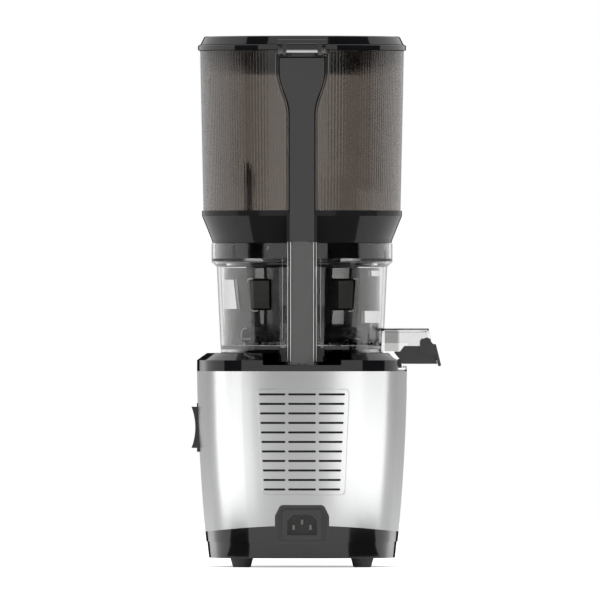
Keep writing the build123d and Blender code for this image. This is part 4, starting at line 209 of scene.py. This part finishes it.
def graded(tree, colour, other, axis, low, high):
    """A colour that turns into another between two distances along an axis of the object."""
    away = computed(tree, "ABSOLUTE", coordinates(tree)[axis])
    return mixed(tree, spread(tree, away, 0.0, 1.0, (low, high)), colour, other)


def ribs(tree, count):
    """A wave round the auger's axis, for fine upright ribs moulded in a wall."""
    place = coordinates(tree)
    turn = computed(tree, "ARCTAN2", place["X"], place["Y"])
    return computed(tree, "SINE", computed(tree, "MULTIPLY", turn, count))


def perforated(tree, colour, count, pitch):
    """A metal sheet's colour with rows of dark holes, so many round the axis and a pitch up it."""
    turns = computed(tree, "MULTIPLY", coordinates(tree)["Z"], 2 * math.pi / pitch)
    waves = computed(tree, "MULTIPLY", ribs(tree, count), computed(tree, "SINE", turns))
    return mixed(tree, spread(tree, waves, 0.0, 1.0, HOLE_SPAN), colour, HOLE_DARK)


def surface(
    name, colour, rough, metal=0.0, share=0.08, scale=60.0, stretch=(1, 1, 1), bump=0.0,
    clear=0.0, ior=1.5, coat=0.0, painted_rim_shade=None, rib_count=0, rib_relief=0.0, grade=None,
    holes=None, painted_glare=None, dull_edge=None,
):
    """A plastic, rubber, metal or clear material with a fine uneven grain.

    share is the grain's part in the colour. painted_rim_shade, painted_glare and dull_edge are
    spans of facing where painted shade turns the colour dark, a painted glare turns it white
    and the gloss ends.
    """
    material = bpy.data.materials.new(name)
    material.use_nodes = True
    tree = material.node_tree
    tree.nodes.clear()
    output = tree.nodes.new("ShaderNodeOutputMaterial")
    shader = tree.nodes.new("ShaderNodeBsdfPrincipled")
    grain = noise(tree, scale, stretch)
    tone = tinted(tree, grain, colour, share)
    if rib_count:
        wave = spread(tree, ribs(tree, rib_count), 0.0, 1.0, (-1.0, 1.0))
        # painted shading: the same wave lightens the ribs' crests and darkens their hollows in the
        # colour
        tone = tinted(tree, wave, colour, RIB_PAINTED_SHADE)
        relief(tree, shader, wave, rib_relief)
    if grade:
        tone = graded(tree, tone, *grade)
    if holes:
        tone = perforated(tree, tone, *holes)
    # painted glare: the colour turns white over a span of facing
    if painted_glare:
        tone = rimmed(tree, tone, PAINTED_GLARE_WHITE, painted_glare)
    # painted shade: the colour turns dark where the wall is seen nearly edge on
    if painted_rim_shade:
        tone = rimmed(tree, tone, PAINTED_RIM_SHADE, painted_rim_shade)
    tree.links.new(tone, shader.inputs["Base Color"])
    roughness = spread(tree, grain, rough * (1 - ROUGH_SHARE), rough * (1 + ROUGH_SHARE))
    tree.links.new(roughness, shader.inputs["Roughness"])
    for socket, number in (
        ("Metallic", metal), ("IOR", ior), ("Transmission Weight", clear),
        ("Coat Weight", coat), ("Coat Roughness", COAT_ROUGHNESS),
    ):
        shader.inputs[socket].default_value = number
    if dull_edge:
        for socket, shine in (("Coat Weight", coat), ("Specular IOR Level", SPECULAR)):
            tree.links.new(at_edge(tree, shine, 0.0, dull_edge), shader.inputs[socket])
    if bump:
        relief(tree, shader, noise(tree, scale * FINE_GRAIN, stretch), FINE_RELIEF, bump)
    tree.links.new(shader.outputs["BSDF"], output.inputs["Surface"])
    return material


# ---------------------------------------------------------------- materials

EDGE = (0.8, 0.87)  # the facing at which painted shade darkens clear walls' edges and most walls' edges lose their gloss
LOOKS = {
    "shell_metal": dict(colour=(0.45, 0.452, 0.455), rough=0.30, metal=1.0, share=0.02,
                        stretch=(1, 1, 14), scale=90),
    "cover_gloss": dict(colour=(0.006, 0.006, 0.007), rough=0.07, share=0.1, coat=0.75,
                        dull_edge=EDGE),
    "tray_plastic": dict(colour=(0.006, 0.0063, 0.0068), rough=0.12, share=0.1, coat=0.4,
                         dull_edge=EDGE),
    "vent_plastic": dict(colour=(0.006, 0.006, 0.0065), rough=0.6, bump=0.1),
    "foot_rubber": dict(colour=(0.06, 0.06, 0.062), rough=0.7, bump=0.25),
    "screw_steel": dict(colour=(0.5, 0.5, 0.52), rough=0.3, metal=1.0),
    "inlet_plastic": dict(colour=(0.02, 0.02, 0.021), rough=0.3, bump=0.08, coat=0.5),
    "pin_brass": dict(colour=(0.20, 0.19, 0.17), rough=0.3, metal=1.0),
    "switch_plastic": dict(colour=(0.008, 0.008, 0.0085), rough=0.18, coat=0.5),
    "box_aluminium": dict(colour=(0.6, 0.61, 0.62), rough=0.5, metal=1.0, bump=0.4),
    "shaft_steel": dict(colour=(0.55, 0.55, 0.57), rough=0.22, metal=1.0),
    "gear_plastic": dict(colour=(0.8, 0.79, 0.74), rough=0.4),
    "bearing_steel": dict(colour=(0.62, 0.62, 0.64), rough=0.2, metal=1.0),
    "core_steel": dict(colour=(0.2, 0.2, 0.22), rough=0.5, metal=1.0, stretch=(1, 1, 40)),
    "copper": dict(colour=(0.6, 0.25, 0.1), rough=0.35, metal=1.0, stretch=(20, 20, 1)),
    "fan_plastic": dict(colour=(0.03, 0.03, 0.032), rough=0.5),
    "board_green": dict(colour=(0.02, 0.14, 0.05), rough=0.4),
    "component_plastic": dict(colour=(0.1, 0.1, 0.11), rough=0.45),
    # painted shade darkens the clear bowl's edges
    "bowl_clear": dict(colour=(0.90, 0.905, 0.90), rough=0.02, clear=1.0, share=0.01, ior=1.45,
                       painted_rim_shade=EDGE, dull_edge=EDGE),
    # the bowl foot is dark with painted shade in its middle and turns clear beyond |X| 0.06
    "foot_clear": dict(colour=(0.06, 0.06, 0.06), rough=0.04, clear=1.0, ior=1.45,
                       grade=((0.85, 0.855, 0.85), "X", 0.044, 0.060)),
    # painted shade darkens the juice duct's edges
    "duct_clear": dict(colour=(0.52, 0.52, 0.515), rough=0.04, clear=1.0, ior=1.45,
                       painted_rim_shade=(0.7, 0.95), grade=((0.86, 0.865, 0.86), "X", 0.0795, 0.0815)),
    "silicone_dark": dict(colour=(0.06, 0.06, 0.062), rough=0.55, bump=0.1),
    "strainer_plastic": dict(colour=(0.012, 0.012, 0.0125), rough=0.35),
    "mesh_steel": dict(colour=(0.9, 0.9, 0.905), rough=0.5, metal=0.15, scale=700,
                       holes=(90, 0.0042)),
    "wiper_smoked": dict(colour=(0.36, 0.36, 0.355), rough=0.05, clear=0.96, ior=1.45),
    "auger_plastic": dict(colour=(0.03, 0.03, 0.032), rough=0.4),
    "nozzle_plastic": dict(colour=(0.016, 0.016, 0.0165), rough=0.2, coat=0.8),
    "rod_plastic": dict(colour=(0.11, 0.11, 0.105), rough=0.3),
    "hopper_base_gloss": dict(colour=(0.011, 0.011, 0.0115), rough=0.08, ior=1.34,
                              dull_edge=(0.82, 0.88),
                              grade=((0.11, 0.092, 0.078), "Z", 0.298, 0.3)),
    # the hopper's colour holds a painted glare over a span of facing and painted shade at its
    # edges
    "hopper_smoked": dict(colour=(0.325, 0.296, 0.273), rough=0.02, clear=1.0, ior=1.6,
                          painted_rim_shade=(0.82, 0.88), dull_edge=(0.82, 0.88), painted_glare=(0.28, 0.64),
                          rib_count=190, rib_relief=0.0001),
    "spine_plastic": dict(colour=(0.014, 0.014, 0.0145), rough=0.14, coat=1.0),
    "pin_chrome": dict(colour=(0.6, 0.6, 0.61), rough=0.22, metal=1.0),
    "dish_smoked": dict(colour=(0.10, 0.088, 0.08), rough=0.08, clear=0.7, ior=1.45, coat=0.5),
    "line_black": dict(colour=(0.004, 0.004, 0.004), rough=0.55, ior=1.2),
    "line_grey": dict(colour=(0.16, 0.15, 0.14), rough=0.4),
    "line_soft": dict(colour=(0.34, 0.34, 0.33), rough=0.35),
    "painted_glint_light": dict(colour=(0.62, 0.62, 0.61), rough=0.3),
    "painted_glint_white": dict(colour=(0.92, 0.92, 0.91), rough=0.3),
    "panel_dark": dict(colour=(0.075, 0.075, 0.068), rough=0.45, ior=1.3),
    "flag_cloth": dict(colour=(0.002, 0.002, 0.002), rough=1.0, ior=1.0),
    "floor_paper": dict(colour=(0.93, 0.93, 0.93), rough=0.9, share=0.005, scale=3),
}
OWN_LOOK = {"bowl_foot": "foot_clear", "juice_duct": "duct_clear"}

materials = {name: surface(name, **look) for name, look in LOOKS.items()}
for part in frame["record"]["subparts"]:
    mesh = nodes[part["node"]].data
    mesh.materials.clear()
    mesh.materials.append(materials[OWN_LOOK.get(part["node"], part["material_slot"])])

# ---------------------------------------------------------------- studio


def placed(name, data):
    """A new object of the scene that shows the data."""
    item = bpy.data.objects.new(name, data)
    scene.collection.objects.link(item)
    return item


def camera():
    """A very long lens, so that the view is level and nearly without perspective."""
    data = bpy.data.cameras.new("photo_camera")
    data.sensor_width = SENSOR
    data.lens = SENSOR * CAMERA_AWAY / (2 * MIDDLE * PIXEL)
    data.clip_end = 2 * CAMERA_AWAY
    item = placed("photo_camera", data)
    item.location = (
        (MIDDLE - AXIS_COLUMN) * PIXEL, -CAMERA_AWAY, (FLOOR_ROW - MIDDLE) * PIXEL
    )
    item.rotation_euler = (math.radians(90), 0, 0)
    scene.camera = item


def world():
    """Soft light from all round, white to the eye and through glass, and calmer in reflections."""
    place = bpy.data.worlds.new("studio")
    scene.world = place
    place.use_nodes = True
    tree = place.node_tree
    tree.nodes.clear()
    output = tree.nodes.new("ShaderNodeOutputWorld")
    path = tree.nodes.new("ShaderNodeLightPath")
    shown = None
    for strength, rays in (
        (ROOM_LIGHT, ()), (ROOM_IN_GLOSS, ("Is Glossy Ray",)),
        (1.0, ("Is Camera Ray", "Is Transmission Ray")),
    ):
        backdrop = tree.nodes.new("ShaderNodeBackground")
        backdrop.inputs["Color"].default_value = (1, 1, 1, 1)
        backdrop.inputs["Strength"].default_value = strength
        shown = shown or backdrop
        for ray in rays:
            mix = tree.nodes.new("ShaderNodeMixShader")
            tree.links.new(path.outputs[ray], mix.inputs["Fac"])
            tree.links.new(shown.outputs[0], mix.inputs[1])
            tree.links.new(backdrop.outputs[0], mix.inputs[2])
            shown = mix
    tree.links.new(shown.outputs[0], output.inputs["Surface"])


def floor():
    """A pale floor that keeps the object's shadow and runs into the white backdrop."""
    bpy.ops.mesh.primitive_circle_add(vertices=96, radius=FLOOR_RADIUS, fill_type="NGON")
    item = bpy.context.object
    item.name = "floor"
    paper = materials["floor_paper"]
    tree = paper.node_tree
    output = next(node for node in tree.nodes if node.type == "OUTPUT_MATERIAL")
    shaded = output.inputs["Surface"].links[0].from_socket
    path = tree.nodes.new("ShaderNodeLightPath")
    glow = tree.nodes.new("ShaderNodeEmission")
    lift = computed(tree, "MULTIPLY", path.outputs["Is Camera Ray"], FLOOR_LIFT)
    tree.links.new(lift, glow.inputs["Strength"])
    both = tree.nodes.new("ShaderNodeAddShader")
    tree.links.new(shaded, both.inputs[0])
    tree.links.new(glow.outputs["Emission"], both.inputs[1])
    tree.links.new(both.outputs["Shader"], output.inputs["Surface"])
    item.data.materials.append(paper)


def around(azimuth, away, height):
    """A point at a distance from the auger's axis, at an azimuth from the rear."""
    a = math.radians(azimuth)
    return (away * math.sin(a), -away * math.cos(a), height)


def on_dome(azimuth, height):
    """A point of an upright wall that leans over the object above its top."""
    rise = max(0.0, height - DOME_FOOT)
    return around(azimuth, FLAG_AWAY * math.cos(min(DOME_LEAN, rise / FLAG_AWAY)), height)


def on_floor(azimuth, away):
    """A point just above the floor."""
    return around(azimuth, away, FLAG_FLOOR)


def on_shelf(azimuth, away):
    """A point level with the top of the base."""
    return around(azimuth, away, SHELF)


def flag(name, place, across, along, through_glass):
    """A black cloth that only reflections show: a strip of the surface that place() gives."""
    points = []
    for i in range(FLAG_STEPS + 1):
        for j in range(FLAG_STEPS + 1):
            points.append(
                place(between(*across, i / FLAG_STEPS), between(*along, j / FLAG_STEPS))
            )
    faces = []
    for i in range(FLAG_STEPS):
        for j in range(FLAG_STEPS):
            a = i * (FLAG_STEPS + 1) + j
            faces.append((a, a + FLAG_STEPS + 1, a + FLAG_STEPS + 2, a + 1))
    mesh = bpy.data.meshes.new(name)
    mesh.from_pydata(points, [], faces)
    mesh.materials.append(materials["flag_cloth"])
    item = placed(name, mesh)
    for ray in ("camera", "diffuse", "shadow", "volume_scatter"):
        setattr(item, f"visible_{ray}", False)
    item.visible_transmission = through_glass


def softbox(name, place, target, size, power, hidden_from):
    """A rectangular lamp that faces a target and that some rays don't see."""
    data = bpy.data.lights.new(name, "AREA")
    data.shape = "RECTANGLE"
    data.size, data.size_y = size
    data.energy = power
    item = placed(name, data)
    item.location = place
    item.rotation_euler = (Vector(place) - Vector(target)).to_track_quat("Z", "Y").to_euler()
    for ray in hidden_from:
        setattr(item, f"visible_{ray}", False)
    return item


def only(name, node):
    """A collection for light linking that holds one node."""
    collection = bpy.data.collections.new(name)
    collection.objects.link(nodes[node])
    return collection


def metal_lamp(name, span, power):
    """A broad lamp between two azimuths, whose light falls on the metal shell alone."""
    width = 2 * METAL_LAMP_AWAY * math.tan(math.radians(span[1] - span[0]) / 2)
    item = softbox(
        name, around(sum(span) / 2, METAL_LAMP_AWAY, METAL_LAMP_HEIGHT),
        (0, 0, METAL_LAMP_HEIGHT), (width, 2 * METAL_LAMP_HEIGHT), power, ("camera",),
    )
    item.light_linking.receiver_collection = metal_only


camera()
world()
floor()
for name, place, across, along, through_glass in (
    ("flag_upper_left", on_dome, (-78, -48), (0.285, 1.7), True),
    ("flag_upper_right", on_dome, (38, 94), (0.285, 1.7), True),
    ("flag_collar_left", on_dome, (-72, -50), (0.195, 0.285), True),
    ("flag_collar_right", on_dome, (32, 77), (0.195, 0.285), True),
    ("flag_lower_left", on_dome, (-70, -31), (0.0, 0.195), True),
    ("flag_lower_right", on_dome, (31, 84), (0.0, 0.195), True),
    ("flag_floor_left", on_floor, (-62, -32), (0.12, 0.25), False),
    ("flag_floor_right", on_floor, (27, 66), (0.12, 0.25), False),
    ("flag_cone_left", on_shelf, (-57, -10), (0.1, 0.26), False),
    ("flag_cone_right", on_shelf, (10, 63), (0.1, 0.26), False),
):
    flag(name, place, across, along, through_glass)
for name, place, size, power in (
    ("left_box", (-1.6, -0.6, 0.9), (0.9, 1.6), 14.0),
    ("right_box", (1.6, -0.6, 0.9), (0.9, 1.6), 14.0),
    ("top_box", (0, 0.3, 2.0), (1.6, 1.6), 12.0),
):
    softbox(name, place, SOFTBOX_TARGET, size, power, ("glossy", "transmission"))
metal_only = only("metal_only", "body_shell")
metal_lamp("metal_left", (-88, -26), 0.73)
metal_lamp("metal_right", (17, 82), 0.75)
mesh_only = only("mesh_only", "strainer_mesh")
mesh_lamp = softbox(
    "mesh_lamp", (0, -0.6, 0.24), (0, 0, 0.23), (0.5, 0.3), 7.0,
    ("camera", "glossy", "transmission"),
)
mesh_lamp.light_linking.receiver_collection = mesh_only
mesh_lamp.light_linking.blocker_collection = mesh_only
scene.view_settings.view_transform = "Standard"

# ---------------------------------------------------------------- helpers for fine pieces

shell_form = bmesh.new()
shell_form.from_mesh(nodes["body_shell"].data)
shell_tree = BVHTree.FromBMesh(shell_form)
shell_form.free()


def on_shell(x, z):
    """The Y of the metal shell's rear face."""
    return shell_tree.ray_cast(Vector((x, -1.0, z)), Vector((0, 1, 0)))[0].y


def on_round(radius, x):
    """The Y of the rear side of an upright round wall."""
    return -math.sqrt(radius * radius - x * x)


def on_cone(wall, x, z):
    """The Y of the rear side of the hopper's or the bowl's wall."""
    (low, low_radius), (high, high_radius) = wall
    return on_round(between(low_radius, high_radius, (z - low) / (high - low)), x)


def seen_path(radius, dots):
    """Points on a round wall, given in columns and rows of the photograph."""
    path = []
    for column, row in dots:
        x = (column - AXIS_COLUMN) * PIXEL
        path.append((x, on_round(radius, x), (FLOOR_ROW - row) * PIXEL))
    return path


def fine_piece(name, points, faces, look, body):
    """A piece with its own mesh, which rides on a body."""
    mesh = bpy.data.meshes.new(name)
    mesh.from_pydata(points, [], faces)
    mesh.validate()
    mesh.materials.append(materials[look])
    item = placed(name, mesh)
    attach(item, body)
    return item


def bead(name, path, across, deep, look, body="base", closed=False):
    """A line along a path, eight-sided, with its half sizes across and outwards: a moulded
    line, or a painted shadow, glint or highlight.
    """
    points = []
    count = len(path)
    for i, point in enumerate(path):
        before = path[i - 1] if closed or i else path[0]
        after = path[(i + 1) % count] if closed or i < count - 1 else path[-1]
        ahead = (Vector(after) - Vector(before)).normalized()
        side = ahead.cross(Vector((0, -1, 0))).normalized()
        out = side.cross(ahead).normalized()
        for k in range(BEAD_SIDES):
            turn = 2 * math.pi * (k + 0.5) / BEAD_SIDES
            step = side * (across * math.cos(turn)) + out * (deep * math.sin(turn))
            points.append(Vector(point) + step)
    faces = []
    for i in range(count if closed else count - 1):
        here, there = i * BEAD_SIDES, (i + 1) % count * BEAD_SIDES
        for k in range(BEAD_SIDES):
            m = (k + 1) % BEAD_SIDES
            faces.append((here + k, there + k, there + m, here + m))
    if not closed:
        faces.append(tuple(range(BEAD_SIDES)))
        faces.append(tuple((count - 1) * BEAD_SIDES + k for k in reversed(range(BEAD_SIDES))))
    item = fine_piece(name, points, faces, look, body)
    for face in item.data.polygons:
        face.use_smooth = len(face.vertices) == 4
    return item


def panel(name, columns, look, body):
    """A thin curved plate between two columns of the photograph."""
    steps = 10
    points = []
    for depth in (0.0, PANEL_THICK):
        for i in range(steps + 1):
            column = between(*columns, i / steps)
            points += seen_path(HOLDER_RADIUS - depth, [(column, row) for row in PANEL_ROWS])
    back = 2 * (steps + 1)
    last = 2 * steps
    faces = []
    for a in range(0, last, 2):
        faces.append((a, a + 2, a + 3, a + 1))
        faces.append((back + a + 1, back + a + 3, back + a + 2, back + a))
        faces.append((a + 2, a, back + a, back + a + 2))
        faces.append((a + 1, a + 3, back + a + 3, back + a + 1))
    faces.append((0, 1, back + 1, back))
    faces.append((last + 1, last, back + last, back + last + 1))
    fine_piece(name, points, faces, look, body)


# ---------------------------------------------------------------- hopper


def spine_line(name, side, extra, top, depth, across, deep, look):
    """A line that follows one side of the spine, so much outside it, up from the hopper's foot."""
    path = []
    for i in range(41):
        z = between(HOPPER_FOOT, top, i / 40)
        flare = (z - SPINE_FLARE[0]) / (SPINE_FLARE[1] - SPINE_FLARE[0])
        share = min(1.0, max(0.0, flare))
        x = side * (between(*SPINE_HALF, share * share * (3 - 2 * share)) + extra)
        path.append((x, depth(x, z), z))
    bead(name, path, across, deep, look)


def on_hopper(x, z):
    """The Y of the hopper's outer wall at the rear."""
    return on_cone(HOPPER_WALL, x, z)


def on_spine(x, z):
    """The Y of the spine's face."""
    return SPINE_FACE


for side, name in ((-1, "left"), (1, "right")):
    # a black line painted where the gap beside the spine lies in shadow
    spine_line(f"spine_gap_shadow_{name}", side, 0.00045, GAP_SHADOW_TOP, on_spine, 0.0007, 0.0011,
               "line_black")
    spine_line(f"spine_groove_{name}", side, 0.0022, GROOVE_TOP, on_hopper, 0.0003, 0.0003,
               "line_black")
    spine_line(f"spine_edge_{name}", side, 0.0034, GROOVE_TOP, on_hopper, 0.00035, 0.0003,
               "line_grey")
# the same painted gap shadow across the top of the spine
gap_shadow_top = [(between(-0.019, 0.019, i / 12), SPINE_FACE, GAP_SHADOW_TOP + 0.0002) for i in range(13)]
bead("spine_gap_shadow_top", gap_shadow_top, 0.0006, 0.0011, "line_black")

for name, low_x in TICK_PLACES:
    high_x = low_x - math.copysign(TICK_LEAN, low_x)
    path = []
    for i in range(5):
        x, z = between(low_x, high_x, i / 4), between(*TICK_SPAN, i / 4)
        path.append((x, on_hopper(x, z) - 0.0001, z))
    bead(f"level_tick_{name}", path, 0.0003, 0.0002, "line_grey")

# ---------------------------------------------------------------- lid

for name, radius, z in (("lid_seam_low", 0.0852, 0.4297), ("lid_seam_high", 0.0853, 0.4344)):
    path = [around(between(-SEAM_AZIMUTH, SEAM_AZIMUTH, i / 96), radius, z) for i in range(97)]
    bead(name, path, 0.0003, 0.0003, "line_black", "lid")

# ---------------------------------------------------------------- wiper's blade holders

# Each frame's columns: its near side above and below, then its far side below and above.
for side, columns in (
    ("left", (251.2, 252.8, 270.8, 270.3)),
    ("right", (330.0, 330.4, 351.6, 353.6)),
):
    high, low = HOLDER_ROWS
    corners = list(zip(columns, (high, low, low, high)))
    dots = []
    for (c0, r0), (c1, r1) in zip(corners, corners[1:] + corners[:1]):
        dots += [(between(c0, c1, i / 8), between(r0, r1, i / 8)) for i in range(8)]
    bead(f"holder_frame_{side}", seen_path(HOLDER_RADIUS, dots), 0.0008, 0.0004, "line_black",
         "wiper", closed=True)

for name, columns in (("left", (252.2, 270.4)), ("right", (338.0, 352.4))):
    panel(f"holder_panel_{name}", columns, "panel_dark", "wiper")

# white beads: painted glints on the holders' corners and on the wiper foot's edges
for name, dots in (
    ("top_left", ((248.2, 281.5), (248.6, 279.6), (250.5, 278.8), (253.6, 279.2))),
    ("low_left", ((251.8, 309.2), (253.0, 310.6), (255.6, 311.0), (258.4, 310.6))),
    ("top_right", ((352.6, 279.2), (354.4, 278.6), (356.2, 279.0), (356.8, 281.0))),
    ("low_right", ((347.8, 310.8), (350.0, 311.2), (351.8, 310.8), (352.6, 309.4))),
    ("foot_left", ((247.6, 328.0), (245.0, 328.6), (243.2, 331.0), (242.5, 335.0),
                   (242.2, 338.6), (246.0, 338.9), (252.0, 338.8))),
    ("foot_right", ((353.6, 338.6), (361.4, 338.8))),
):
    bead(f"holder_glint_{name}", seen_path(GLINT_RADIUS, dots), 0.00045, 0.00012, "painted_glint_white",
         "wiper")

# ---------------------------------------------------------------- bowl's rear channel

# light grey lines: painted highlights on the fillets where the channel meets the bowl
for name, x in (("left", -0.0161), ("right", 0.0153)):
    heights = [between(*FILLET_SPAN, i / 16) for i in range(17)]
    path = [(x, on_cone(BOWL_WALL, x, z), z) for z in heights]
    bead(f"channel_fillet_{name}", path, 0.0004, 0.0002, "line_soft")

# the light lines are painted glints on the edges of the channel's walls
for name, x, half in (
    ("light_96_left", -0.0096, 0.0003), ("light_97_right", 0.0097, 0.0003),
    ("light_118_left", -0.0118, 0.00022), ("light_118_right", 0.0118, 0.00022),
    ("groove_107_left", -0.0107, 0.0003), ("groove_108_right", 0.0108, 0.0003),
):
    path = [(x, CHANNEL_FACE, between(*CHANNEL_SPAN, i / 20)) for i in range(21)]
    look = "painted_glint_light" if name.startswith("light") else "line_black"
    bead(f"channel_{name}", path, half, 0.0003, look)

# ---------------------------------------------------------------- vent's pressed outline


def flat_between(start, end, share):
    """The point a share of the way between two points of the rear view."""
    return (between(start[0], end[0], share), between(start[1], end[1], share))


outline = []
for i, corner in enumerate(VENT_CORNERS):
    ahead = VENT_CORNERS[(i + 1) % 4]
    near = flat_between(corner, VENT_CORNERS[i - 1], VENT_ROUND)
    far = flat_between(corner, ahead, VENT_ROUND)
    for step in range(6):
        turn = step / 5
        outline.append(flat_between(
            flat_between(near, corner, turn), flat_between(corner, far, turn), turn
        ))
    for step in range(1, 12):
        outline.append(flat_between(corner, ahead, between(VENT_ROUND, 1 - VENT_ROUND, step / 12)))
path = [(x, on_shell(x, z) + 0.00005, z) for x, z in outline]
vent_outline = bead("vent_outline", path, 0.0005, 0.00012, "shell_metal",
                    closed=True)
metal_only.objects.link(vent_outline)
